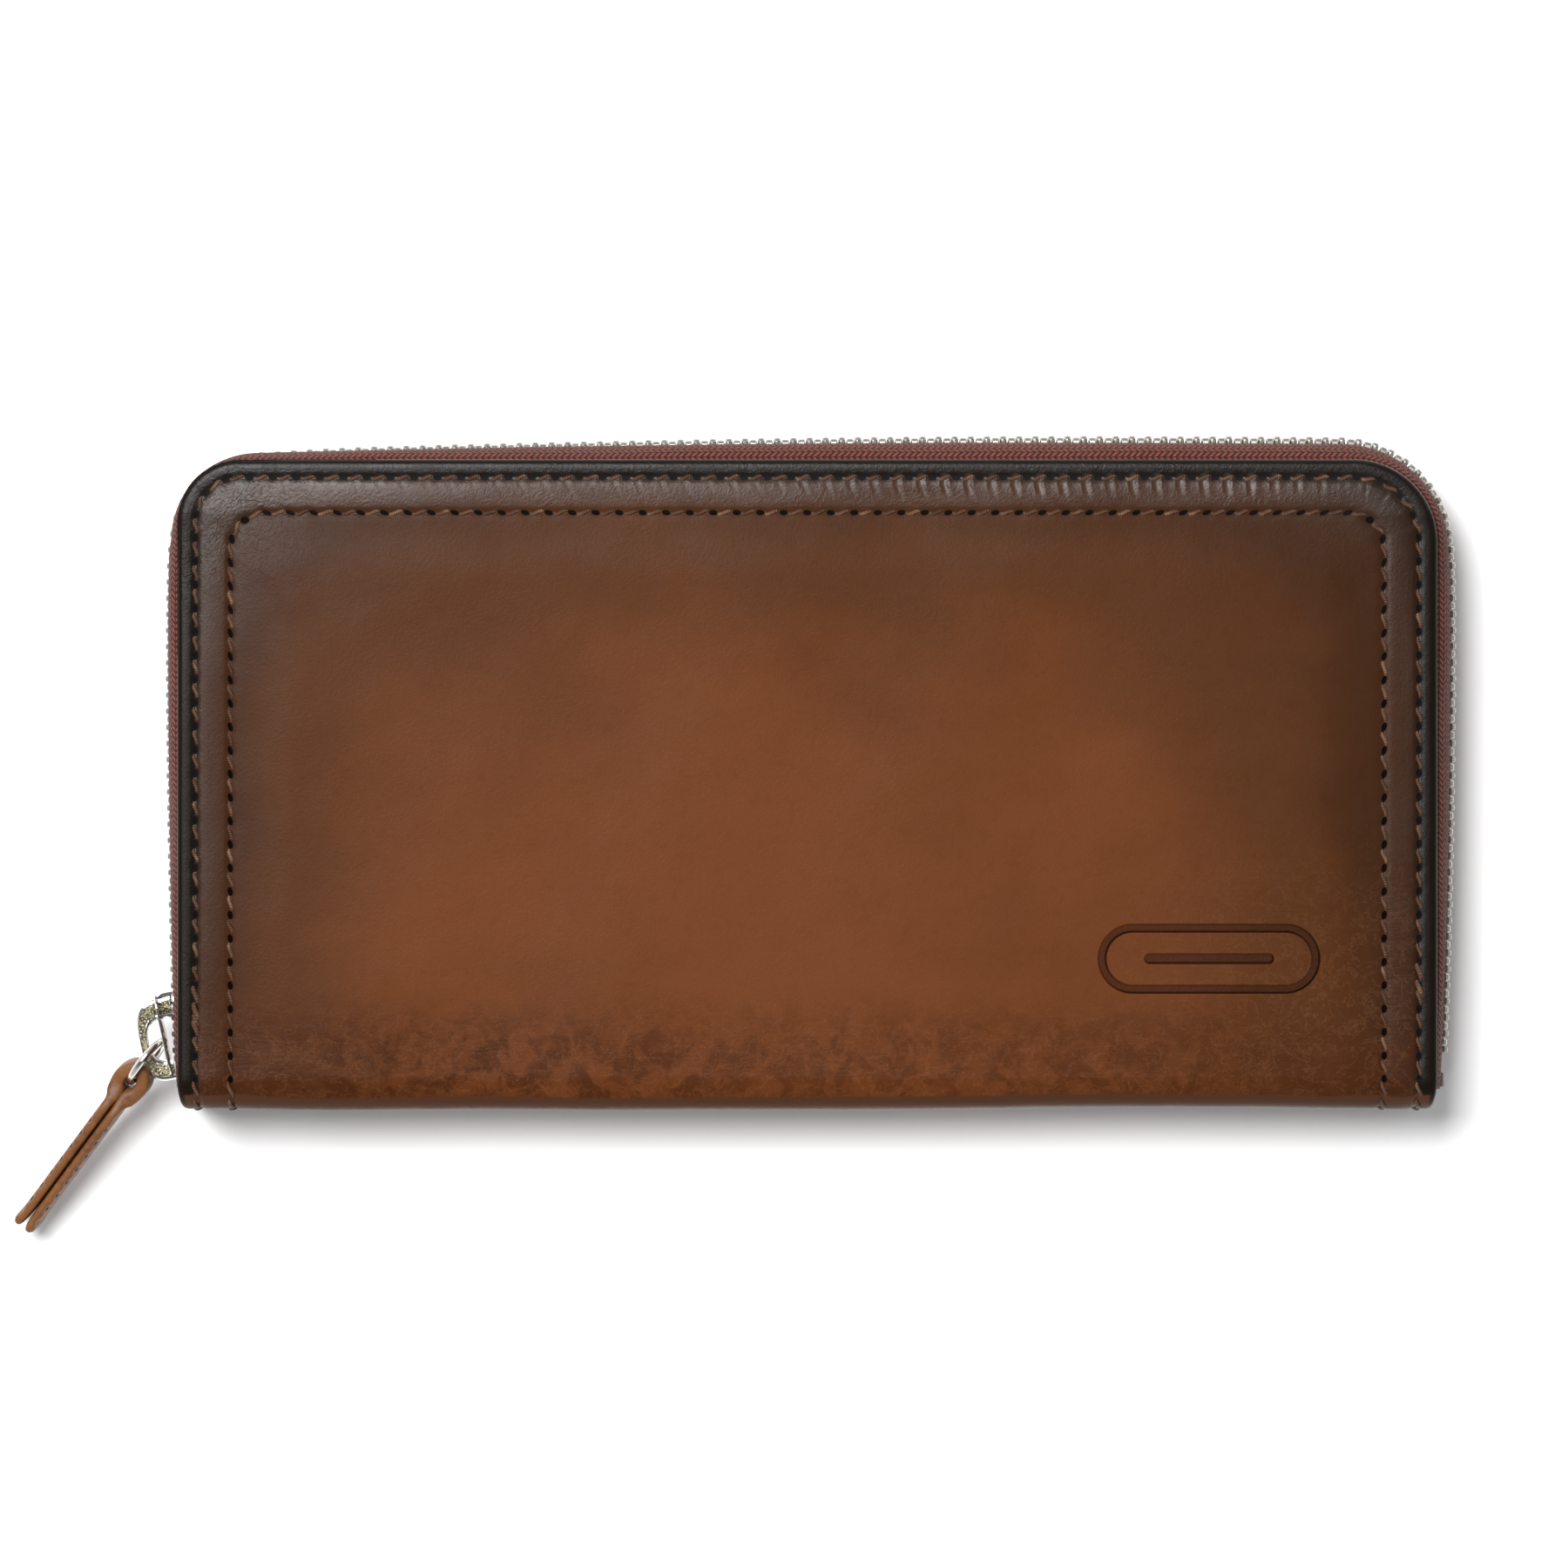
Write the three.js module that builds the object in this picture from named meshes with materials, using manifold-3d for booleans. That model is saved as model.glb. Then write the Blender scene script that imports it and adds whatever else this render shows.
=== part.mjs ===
// A zip-around long wallet, lying on its back cover.
// Millimetres. +X runs along the spine, +Y from the spine to the long zip run,
// +Z from the back cover to the front cover. The origin is the middle of the back
// cover's resting face. Heights written "h" are measured from the closing plane.
import * as THREE from 'three';
import { mergeVertices } from 'three/addons/utils/BufferGeometryUtils.js';
import Module from 'manifold-3d';

const wasm = await Module();
wasm.setup();

// ---- Driving dimensions ----
const WIDTH = 190;
const HEIGHT = 98.5;
const THICKNESS = 24;
const GAP = 0.25;
const SPINE_SEAM = 0.15;

// Cover layers, from the outside in.
const LEATHER = 1.4;
const BOARD = 0.7;
const LINING = 0.5;
const TIER = 0.4;
const CORNER = { topLeft: 9.5, topRight: 12.5, spine: 3 };
const SPINE_RADIUS = 5;
const BOARD_INSET = 7.5;
const LINING_INSET = 3;

// Main zip: the half chain spans CHAIN_LOW to CHAIN_HIGH from the closing plane.
const TOOTH_PITCH = 2.45;
const TOOTH_LENGTH = 1.3;
const CHAIN_LOW = 0.45;
const CHAIN_ROOT = 2.3;
const CHAIN_HIGH = 2.9;
const CHAIN_HALF_DEPTH = 1.2;
const TAPE = 0.5;
const TAPE_LOW = 3.2;
const TAPE_REACH = 7;
const TAPE_MARGIN = 1;

// Where the parts of the chain sit along the zip, and the clamps on its ends.
const CHAIN_ENDS = { afterSlider: 1.2, backStart: 2.6, beforeEnd: 4 };
const TOP_STOP = { at: 0.7, length: 1.2, low: 0.7 };
const BOTTOM_STOP = { fromEnd: 1.4, length: 1.6 };

// The closing line of the main zip: it leans in towards the spine at both ends.
const ZIP = {
  start: new THREE.Vector2(-94.4, -46),
  topLeft: new THREE.Vector2(-96.6, 49.8),
  topRight: new THREE.Vector2(97.2, 51.4),
  end: new THREE.Vector2(95.4, -46),
  leftRound: 14,
  rightRound: 17,
};

// Slider, at its closed place near the left end of the zip.
const SLIDER = {
  fromStart: 7.3,
  length: 11.6,
  width: 8,
  plate: 1,
  plateInner: 1.5,
  rimInner: 0.6,
  rimLow: 3.3,
  divider: 0.5,
  dividerLength: 2.4,
};
const CROWN = { rise: 6.4, half: 5.2, thickness: 2, bar: 0.95, corner: 2.2 };

// Jump ring and strap. The ring crosses the crown's outer bar.
const RING = {
  radius: 4,
  wire: 0.55,
  inner: new THREE.Vector2(-3.3, 0.2),
  innerToBar: 4.23,
  heading: 231.5,
};
const STRAP = {
  length: 28.5,
  width: 8,
  thickness: 3.3,
  neck: 3.6,
  neckLength: 5.5,
  loop: 2.3,
  hole: 1.2,
  loopLeave: 1.6,
  loopBend: 3.2,
  shoulder: 5,
};
const DROOP = 13.5;

// Inside: coin pocket, gussets, card tiers.
const POCKET = { half: 88, low: -44, high: 33, inner: 2.1, panel: 0.6, hem: 0.7 };
const GUSSET = { inner: 80.5, outer: 90.5, low: -40, high: 30, sheet: 0.5 };
const TIERS = { half: 86, low: -43, tops: [22, 8, -6] };
const POCKET_SEAM = 0.3;
const COIN_TAPE = { inset: 4, height: 7, near: 0.75, far: 0.35 };
const COIN_ZIP = { half: 82, low: 33.4, high: 35.2, gap: 0.45, reach: 1.6 };
const COIN_SLIDER = {
  x: 74,
  length: 8,
  plate: 0.8,
  clearance: 0.4,
  half: 2.2,
  innerHalf: 0.95,
  bail: 1.2,
  bailRise: 2.65,
  bailCorner: 1,
  eyeHalf: 1.2,
  eyeLow: 0.4,
  eyeHigh: 2.05,
};
const COIN_PULL = {
  length: 10.5,
  overlap: 0.5,
  half: 2.2,
  sheet: 0.8,
  windowFar: 3,
  windowNear: 0.5,
  windowHalf: 1,
  hinge: 1.15,
};

const COLOURS = {
  cover: 0x75462c,
  board: 0xb9a583,
  lining: 0x8a5a3a,
  tier: 0x9a6238,
  tape: 0x7e4a40,
  brass: 0xb5ad9a,
  strap: 0x92644b,
};

const MIDDLE = THICKNESS / 2;
const TOP = HEIGHT / 2;
const SPINE = -HEIGHT / 2;
const HALF_WIDTH = WIDTH / 2;

// Distances of the layers from the closing plane.
const LEATHER_IN = MIDDLE - LEATHER;
const BOARD_OUT = LEATHER_IN - GAP;
const BOARD_IN = BOARD_OUT - BOARD;
const LINING_OUT = BOARD_IN - GAP;
const LINING_IN = LINING_OUT - LINING;
const FLANGE_OUT = LEATHER_IN - 0.35;
const FLANGE_IN = FLANGE_OUT - TAPE;

// ---- Helpers ----
function material(colour, roughness = 0.6, metalness = 0) {
  return new THREE.MeshStandardMaterial({ color: colour, roughness, metalness });
}

function named(name, geometry, look) {
  const mesh = new THREE.Mesh(geometry, look);
  mesh.name = name;
  return mesh;
}

function toSolid(geometry) {
  const bare = geometry.clone();
  bare.deleteAttribute('normal');
  bare.deleteAttribute('uv');
  const merged = mergeVertices(bare, 1e-4);
  return new wasm.Manifold(new wasm.Mesh({
    numProp: 3,
    vertProperties: new Float32Array(merged.attributes.position.array),
    triVerts: new Uint32Array(merged.index.array),
  }));
}

function toGeometry(solid) {
  const mesh = solid.getMesh();
  const geometry = new THREE.BufferGeometry();
  geometry.setAttribute('position', new THREE.BufferAttribute(new Float32Array(mesh.vertProperties), 3));
  geometry.setIndex(new THREE.BufferAttribute(new Uint32Array(mesh.triVerts), 1));
  geometry.computeVertexNormals();
  return geometry;
}

// A box given by its lowest and highest corners.
function block(low, high) {
  const size = high.map((value, i) => value - low[i]);
  const centre = high.map((value, i) => (value + low[i]) / 2);
  return new THREE.BoxGeometry(...size).translate(...centre);
}

// A plan outline with its own radius at each corner, anticlockwise from the lower left.
function roundedOutline(left, bottom, right, top, radii) {
  const [lowLeft, lowRight, highRight, highLeft] = radii;
  const shape = new THREE.Shape();
  shape.moveTo(left + lowLeft, bottom);
  shape.lineTo(right - lowRight, bottom);
  shape.absarc(right - lowRight, bottom + lowRight, lowRight, -Math.PI / 2, 0);
  shape.lineTo(right, top - highRight);
  shape.absarc(right - highRight, top - highRight, highRight, 0, Math.PI / 2);
  shape.lineTo(left + highLeft, top);
  shape.absarc(left + highLeft, top - highLeft, highLeft, Math.PI / 2, Math.PI);
  shape.lineTo(left, bottom + lowLeft);
  shape.absarc(left + lowLeft, bottom + lowLeft, lowLeft, Math.PI, 1.5 * Math.PI);
  return shape;
}

// A flat sheet between two heights measured from the closing plane.
function sheet(outline, hLow, hHigh, curveSegments = 6) {
  const geometry = new THREE.ExtrudeGeometry(outline, {
    depth: hHigh - hLow,
    bevelEnabled: false,
    curveSegments,
  });
  return geometry.translate(0, 0, MIDDLE + hLow);
}

// The same, mirrored to whichever side of the closing plane is asked for.
function sheetOnSide(side, outline, inner, outer, curveSegments) {
  return side > 0
    ? sheet(outline, inner, outer, curveSegments)
    : sheet(outline, -outer, -inner, curveSegments);
}

// ---- Outer leather: cover and its half of the spine fold ----
function coverGeometry(side) {
  const bend = SPINE + SPINE_RADIUS;
  const straight = MIDDLE - SPINE_RADIUS;
  const section = new THREE.Shape();
  section.moveTo(TOP, side * MIDDLE);
  section.lineTo(bend, side * MIDDLE);
  section.absarc(bend, side * straight, SPINE_RADIUS, side * Math.PI / 2, Math.PI, side < 0);
  section.lineTo(SPINE, side * SPINE_SEAM);
  section.lineTo(SPINE + LEATHER, side * SPINE_SEAM);
  section.lineTo(SPINE + LEATHER, side * straight);
  section.absarc(bend, side * straight, SPINE_RADIUS - LEATHER, Math.PI, side * Math.PI / 2, side > 0);
  section.lineTo(TOP, side * LEATHER_IN);
  const strip = new THREE.ExtrudeGeometry(section, { depth: WIDTH, bevelEnabled: false, curveSegments: 6 });
  const axes = new THREE.Matrix4().makeBasis(
    new THREE.Vector3(0, 1, 0),
    new THREE.Vector3(0, 0, 1),
    new THREE.Vector3(1, 0, 0),
  );
  strip.applyMatrix4(axes);
  strip.translate(-HALF_WIDTH, 0, MIDDLE);

  const radii = [CORNER.spine, CORNER.spine, CORNER.topRight, CORNER.topLeft];
  const plan = roundedOutline(-HALF_WIDTH, SPINE, HALF_WIDTH, TOP, radii);
  const prismShape = { depth: THICKNESS + 2, bevelEnabled: false, curveSegments: 8 };
  const prism = new THREE.ExtrudeGeometry(plan, prismShape);
  prism.translate(0, 0, -1);
  return toGeometry(toSolid(strip).intersect(toSolid(prism)));
}

function boardGeometry(side) {
  const inset = BOARD_INSET;
  const outline = roundedOutline(
    -HALF_WIDTH + inset, SPINE + inset, HALF_WIDTH - inset, TOP - inset, [2, 2, 6, 4]);
  return sheetOnSide(side, outline, BOARD_IN, BOARD_OUT);
}

function liningGeometry(side) {
  const inset = LINING_INSET;
  const outline = roundedOutline(
    -HALF_WIDTH + inset, SPINE + inset, HALF_WIDTH - inset, TOP - inset, [2, 2, 10, 8]);
  return sheetOnSide(side, outline, LINING_IN, LINING_OUT);
}

function tierGeometry(side, index) {
  const outer = LINING_IN - GAP - index * (TIER + GAP);
  const radii = [0.8, 0.8, 0.8, 0.8];
  const outline = roundedOutline(-TIERS.half, TIERS.low, TIERS.half, TIERS.tops[index], radii);
  return sheetOnSide(side, outline, outer - TIER, outer, 2);
}

// ---- Main zip ----
// A point of the given line, the given distance before or after its end.
function along(from, to, distance) {
  const direction = to.clone().sub(from).normalize();
  return from.clone().addScaledVector(direction, distance);
}

function zipPath() {
  const { start, topLeft, topRight, end, leftRound, rightRound } = ZIP;
  const path = new THREE.Path();
  const leftIn = along(topLeft, start, leftRound);
  const leftOut = along(topLeft, topRight, leftRound);
  const rightIn = along(topRight, topLeft, rightRound);
  const rightOut = along(topRight, end, rightRound);
  path.moveTo(start.x, start.y);
  path.lineTo(leftIn.x, leftIn.y);
  path.quadraticCurveTo(topLeft.x, topLeft.y, leftOut.x, leftOut.y);
  path.lineTo(rightIn.x, rightIn.y);
  path.quadraticCurveTo(topRight.x, topRight.y, rightOut.x, rightOut.y);
  path.lineTo(end.x, end.y);
  return path;
}

const path = zipPath();
const pathLength = path.getLength();

function stationAt(distance) {
  const u = THREE.MathUtils.clamp(distance / pathLength, 0, 1);
  const point = path.getPointAt(u);
  const tangent = path.getTangentAt(u);
  return { point, outward: new THREE.Vector2(-tangent.y, tangent.x) };
}

// Stations only where the path needs them: the ends, and a few round each corner.
// The tape stops short of the path's ends, where the spine fold begins.
function tapeStations() {
  const points = path.getPoints(7);
  points[0] = path.getPointAt(TAPE_MARGIN / pathLength);
  points[points.length - 1] = path.getPointAt(1 - TAPE_MARGIN / pathLength);
  return points.map((point, i) => {
    const before = points[Math.max(i - 1, 0)];
    const after = points[Math.min(i + 1, points.length - 1)];
    const tangent = after.clone().sub(before).normalize();
    return { point, outward: new THREE.Vector2(-tangent.y, tangent.x) };
  });
}

// Sweeps a section drawn in (outward, h) through a list of stations. Section heights
// equal to CHAIN_ROOT follow the station's own root height where it has one.
function sweep(section, stations) {
  const geometry = new THREE.ExtrudeGeometry(section, {
    depth: stations.length - 1,
    steps: stations.length - 1,
    bevelEnabled: false,
  });
  const position = geometry.attributes.position;
  for (let i = 0; i < position.count; i += 1) {
    const outward = position.getX(i);
    let h = position.getY(i);
    const station = stations[Math.round(position.getZ(i))];
    if (station.root !== undefined && Math.abs(Math.abs(h) - CHAIN_ROOT) < 1e-6) {
      h = Math.sign(h) * station.root;
    }
    position.setXYZ(
      i,
      station.point.x + station.outward.x * outward,
      station.point.y + station.outward.y * outward,
      MIDDLE + h,
    );
  }
  geometry.computeVertexNormals();
  return geometry;
}

// An L of tape: a wall beside the chain and a flange between cover leather and lining.
function tapeGeometry(side) {
  const half = TAPE / 2;
  const section = new THREE.Shape();
  section.moveTo(-half, side * TAPE_LOW);
  section.lineTo(half, side * TAPE_LOW);
  section.lineTo(half, side * FLANGE_OUT);
  section.lineTo(-TAPE_REACH, side * FLANGE_OUT);
  section.lineTo(-TAPE_REACH, side * FLANGE_IN);
  section.lineTo(-half, side * FLANGE_IN);
  return sweep(section, tapeStations());
}

// Half a chain: a rail with one tooth per pitch, from one distance along the path to another.
function chainGeometry(side, from, to) {
  const phase = side > 0 ? 0 : TOOTH_PITCH / 2;
  const teeth = Math.floor((to - from - phase) / TOOTH_PITCH);
  const stations = [];
  for (let i = 0; i < teeth; i += 1) {
    const tooth = from + phase + i * TOOTH_PITCH;
    stations.push({ ...stationAt(tooth), root: CHAIN_LOW });
    stations.push({ ...stationAt(tooth + TOOTH_LENGTH / 2), root: CHAIN_LOW });
    stations.push({ ...stationAt(tooth + (TOOTH_LENGTH / 2 + TOOTH_PITCH) / 2), root: CHAIN_ROOT });
  }
  const a = CHAIN_HALF_DEPTH;
  const section = new THREE.Shape();
  section.moveTo(-a, side * CHAIN_ROOT);
  section.lineTo(a, side * CHAIN_ROOT);
  section.lineTo(a, side * CHAIN_HIGH);
  section.lineTo(-a, side * CHAIN_HIGH);
  return sweep(section, stations);
}

// A clamp on the zip's end, placed at a distance along the path.
function stopGeometry(distance, length, hLow, hHigh) {
  const { point, outward } = stationAt(distance);
  const geometry = new THREE.BoxGeometry(2 * CHAIN_HALF_DEPTH, length, hHigh - hLow);
  geometry.rotateZ(Math.atan2(outward.y, outward.x));
  return geometry.translate(point.x, point.y, MIDDLE + (hLow + hHigh) / 2);
}

// ---- Slider: two plates, a divider, rims round the chain and a crown ----
function crownOutline() {
  const { rise, half, bar, corner } = CROWN;
  const base = -SLIDER.plateInner - SLIDER.plate / 2;
  const outline = new THREE.Shape();
  outline.moveTo(base, -half);
  outline.lineTo(-rise + corner, -half);
  outline.quadraticCurveTo(-rise, -half, -rise, -half + corner);
  outline.lineTo(-rise, half - corner);
  outline.quadraticCurveTo(-rise, half, -rise + corner, half);
  outline.lineTo(base, half);

  const window = new THREE.Path();
  const inner = -SLIDER.plateInner - SLIDER.plate;
  window.moveTo(inner, -half + bar);
  window.lineTo(inner, half - bar);
  window.lineTo(-rise + corner, half - bar);
  window.quadraticCurveTo(-rise + bar, half - bar, -rise + bar, half - corner);
  window.lineTo(-rise + bar, -half + corner);
  window.quadraticCurveTo(-rise + bar, -half + bar, -rise + corner, -half + bar);
  outline.holes.push(window);
  return outline;
}

function sliderGeometry() {
  const { length, width, plate, plateInner, rimInner, rimLow, divider, dividerLength } = SLIDER;
  const halfLength = length / 2;
  const halfWidth = width / 2;
  const overlap = 0.05;
  const crown = new THREE.ExtrudeGeometry(crownOutline(), {
    depth: CROWN.thickness,
    bevelEnabled: false,
    curveSegments: 5,
  });
  crown.translate(0, 0, -CROWN.thickness / 2);
  let solid = toSolid(crown);
  for (const side of [-1, 1]) {
    const near = side * plateInner;
    const far = side * (plateInner + plate);
    const lowX = Math.min(near, far);
    const highX = Math.max(near, far);
    solid = solid.add(toSolid(block([lowX, -halfLength, -halfWidth], [highX, halfLength, halfWidth])));
    for (const edge of [-1, 1]) {
      const xs = [side * rimInner, side * (plateInner + overlap)].sort((a, b) => a - b);
      const zs = [edge * rimLow, edge * halfWidth].sort((a, b) => a - b);
      solid = solid.add(toSolid(block([xs[0], -halfLength, zs[0]], [xs[1], halfLength, zs[1]])));
    }
  }
  const wedge = block(
    [-plateInner - overlap, -halfLength, -divider / 2],
    [plateInner + overlap, -halfLength + dividerLength, divider / 2],
  );
  return toGeometry(solid.add(toSolid(wedge)));
}

// ---- Jump ring and strap, in a frame whose X points down the strap ----
function ringGeometry() {
  return new THREE.TorusGeometry(RING.radius, RING.wire, 8, 30).rotateX(Math.PI / 2);
}

// A folded strap seen edge on: a round loop about the origin, then two layers as one.
function strapGeometry() {
  const { length, width, neck, neckLength, loop, hole, thickness, loopLeave, loopBend, shoulder } = STRAP;
  const half = thickness / 2;
  const leaveHeight = Math.sqrt(loop * loop - loopLeave * loopLeave);
  const outline = new THREE.Shape();
  outline.moveTo(length, half);
  outline.lineTo(shoulder, half);
  outline.quadraticCurveTo(loopBend, half, loopLeave, leaveHeight);
  const meet = Math.atan2(leaveHeight, loopLeave);
  outline.absarc(0, 0, loop, meet, 2 * Math.PI - meet);
  outline.quadraticCurveTo(loopBend, -half, shoulder, -half);
  outline.lineTo(length, -half);
  const bore = new THREE.Path();
  bore.absarc(0, 0, hole, 0, 2 * Math.PI, true);
  outline.holes.push(bore);

  const narrow = new THREE.ExtrudeGeometry(outline, { depth: neck, bevelEnabled: false, curveSegments: 8 });
  narrow.translate(0, 0, -neck / 2);
  const wide = block([neckLength, -half, -width / 2], [length, half, width / 2]);
  return toGeometry(toSolid(narrow).add(toSolid(wide)));
}

// ---- Coin pocket zip ----
// Two plates either side of the teeth, a divider between them and an arched bail.
function coinSliderGeometry() {
  const { length, plate, clearance, half, innerHalf, bail, bailRise, bailCorner } = COIN_SLIDER;
  const { eyeHalf, eyeLow, eyeHigh } = COIN_SLIDER;
  const halfLength = length / 2;
  const top = COIN_ZIP.high + clearance;
  const bottom = COIN_ZIP.low - clearance;
  const outer = block([-halfLength, top, -half], [halfLength, top + plate, half]);
  const inner = block([-halfLength, bottom - plate, -innerHalf], [halfLength, bottom, innerHalf]);
  const divider = block([halfLength - 2.2, bottom - 0.1, -0.2], [halfLength - 0.2, top + 0.1, 0.2]);

  const arch = new THREE.Shape();
  const foot = top + plate - 0.05;
  const crest = foot + bailRise;
  arch.moveTo(half, foot);
  arch.lineTo(half, crest - bailCorner);
  arch.quadraticCurveTo(half, crest, half - bailCorner, crest);
  arch.lineTo(-half + bailCorner, crest);
  arch.quadraticCurveTo(-half, crest, -half, crest - bailCorner);
  arch.lineTo(-half, foot);
  const eye = new THREE.Path();
  eye.moveTo(-eyeHalf, foot + eyeLow);
  eye.lineTo(-eyeHalf, foot + eyeHigh);
  eye.lineTo(eyeHalf, foot + eyeHigh);
  eye.lineTo(eyeHalf, foot + eyeLow);
  arch.holes.push(eye);
  const hoop = new THREE.ExtrudeGeometry(arch, { depth: bail, bevelEnabled: false, curveSegments: 4 });
  hoop.translate(0, 0, -bail / 2);
  return toGeometry(toSolid(outer).add(toSolid(inner)).add(toSolid(divider)).add(toSolid(hoop)));
}

// A flat tab with a window at its hinge end; the hinge bar lies on the local Z axis.
function coinPullGeometry() {
  const { length, overlap, half, sheet: depth, windowFar, windowNear, windowHalf } = COIN_PULL;
  const outline = roundedOutline(-length, -half, overlap, half, [0.4, 0.4, 1.6, 1.6]);
  const window = new THREE.Path();
  window.moveTo(-windowFar, -windowHalf);
  window.lineTo(-windowFar, windowHalf);
  window.lineTo(-windowNear, windowHalf);
  window.lineTo(-windowNear, -windowHalf);
  outline.holes.push(window);
  const tab = new THREE.ExtrudeGeometry(outline, { depth, bevelEnabled: false, curveSegments: 4 });
  return tab.translate(0, 0, -depth / 2).rotateX(Math.PI / 2);
}

// ---- Assembly ----
const wallet = new THREE.Group();

const metal = () => material(COLOURS.brass, 0.35, 1);
const sliderStation = stationAt(SLIDER.fromStart);
const sliderTop = SLIDER.fromStart + SLIDER.length / 2;

for (const [name, side] of [['back', -1], ['front', 1]]) {
  wallet.add(named(`${name}_cover_leather`, coverGeometry(side), material(COLOURS.cover, 0.45)));
  wallet.add(named(`${name}_stiffener_board`, boardGeometry(side), material(COLOURS.board, 0.9)));
  wallet.add(named(`${name}_lining`, liningGeometry(side), material(COLOURS.lining, 0.7)));
  TIERS.tops.forEach((top, index) => {
    const look = material(COLOURS.tier, 0.6);
    wallet.add(named(`${name}_card_tier_${index + 1}`, tierGeometry(side, index), look));
  });
  wallet.add(named(`${name}_zip_tape`, tapeGeometry(side), material(COLOURS.tape, 0.85)));

  const chainStart = side > 0 ? sliderTop + CHAIN_ENDS.afterSlider : CHAIN_ENDS.backStart;
  const chainEnd = pathLength - CHAIN_ENDS.beforeEnd;
  wallet.add(named(`${name}_zip_teeth`, chainGeometry(side, chainStart, chainEnd), metal()));
  const stopRange = [side * TOP_STOP.low, side * CHAIN_HIGH].sort((a, b) => a - b);
  const topStop = stopGeometry(TOP_STOP.at, TOP_STOP.length, ...stopRange);
  wallet.add(named(`${name}_zip_top_stop`, topStop, metal()));
}
const bottomStopAt = pathLength - BOTTOM_STOP.fromEnd;
const bottomStop = stopGeometry(bottomStopAt, BOTTOM_STOP.length, -CHAIN_HIGH, CHAIN_HIGH);
wallet.add(named('zip_bottom_stop', bottomStop, metal()));

// The slider's own frame: X points inwards, Y up the zip.
const slider = new THREE.Group();
slider.position.set(sliderStation.point.x, sliderStation.point.y, MIDDLE);
slider.rotation.z = Math.atan2(-sliderStation.outward.y, -sliderStation.outward.x);
slider.add(named('zip_slider', sliderGeometry(), metal()));
wallet.add(slider);

// The ring and strap hang from the crown's bar, dipping towards the strap's tip.
const heading = THREE.MathUtils.degToRad(RING.heading);
const barX = RING.inner.x + Math.cos(heading) * RING.innerToBar;
const barY = RING.inner.y + Math.sin(heading) * RING.innerToBar;
const pull = new THREE.Group();
pull.position.set(barX, barY, 0);
pull.rotation.set(0, THREE.MathUtils.degToRad(DROOP), heading, 'ZYX');
slider.add(pull);

const ring = named('jump_ring', ringGeometry(), metal());
ring.position.x = RING.radius - RING.innerToBar;
pull.add(ring);

const strap = named('pull_strap', strapGeometry(), material(COLOURS.strap, 0.6));
strap.position.x = 2 * RING.radius - RING.innerToBar;
pull.add(strap);

// Coin pocket, standing between the covers.
const { half: pocketHalf, low: pocketLow, high: pocketHigh, inner: pocketIn, panel, hem } = POCKET;
const pocketOut = pocketIn + panel;
const panelOutline = roundedOutline(-pocketHalf, pocketLow, pocketHalf, pocketHigh, [1, 1, 1, 1]);
for (const [name, side] of [['back', -1], ['front', 1]]) {
  const cloth = () => material(COLOURS.tier, 0.7);
  const panelSheet = sheetOnSide(side, panelOutline, pocketIn, pocketOut, 2);
  wallet.add(named(`coin_pocket_${name}_panel`, panelSheet, cloth()));
  const tapeHalf = pocketHalf - COIN_TAPE.inset;
  const tapeFoot = pocketHigh - COIN_TAPE.height;
  const tapeOutline = roundedOutline(-tapeHalf, tapeFoot, tapeHalf, pocketHigh, [0.5, 0.5, 0.5, 0.5]);
  const coinTape = sheetOnSide(side, tapeOutline, pocketIn - COIN_TAPE.near, pocketIn - COIN_TAPE.far, 1);
  wallet.add(named(`coin_zip_${name}_tape`, coinTape, material(COLOURS.tape, 0.85)));
  const { half, low, high, gap, reach } = COIN_ZIP;
  const chain = roundedOutline(-half, low, half, high, [0.4, 0.4, 0.4, 0.4]);
  wallet.add(named(`coin_zip_${name}_teeth`, sheetOnSide(side, chain, gap, reach, 1), metal()));
}
const foldLow = [-pocketHalf, pocketLow - POCKET_SEAM - hem, MIDDLE - pocketOut];
const foldHigh = [pocketHalf, pocketLow - POCKET_SEAM, MIDDLE + pocketOut];
wallet.add(named('coin_pocket_bottom_fold', block(foldLow, foldHigh), material(COLOURS.tier, 0.7)));

for (const [name, side] of [['left', -1], ['right', 1]]) {
  const hemInner = pocketHalf + POCKET_SEAM;
  const hemXs = [side * hemInner, side * (hemInner + hem)].sort((a, b) => a - b);
  const hemLow = [hemXs[0], pocketLow, MIDDLE - pocketOut];
  const hemHigh = [hemXs[1], pocketHigh, MIDDLE + pocketOut];
  const hemBlock = block(hemLow, hemHigh);
  wallet.add(named(`coin_pocket_${name}_hem`, hemBlock, material(COLOURS.tier, 0.7)));

  const xs = [side * GUSSET.inner, side * GUSSET.outer].sort((a, b) => a - b);
  const leaf = roundedOutline(xs[0], GUSSET.low, xs[1], GUSSET.high, [1, 1, 1, 1]);
  const onCover = LINING_IN - GAP - TIERS.tops.length * (TIER + GAP) - 0.1;
  const onPocket = pocketOut + 0.35;
  for (const [half, direction] of [['back', -1], ['front', 1]]) {
    const cloth = () => material(COLOURS.lining, 0.7);
    const coverLeaf = sheetOnSide(direction, leaf, onCover - GUSSET.sheet, onCover, 2);
    wallet.add(named(`${name}_gusset_${half}_cover_leaf`, coverLeaf, cloth()));
    const pocketLeaf = sheetOnSide(direction, leaf, onPocket, onPocket + GUSSET.sheet, 2);
    wallet.add(named(`${name}_gusset_${half}_pocket_leaf`, pocketLeaf, cloth()));
  }
}

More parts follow.
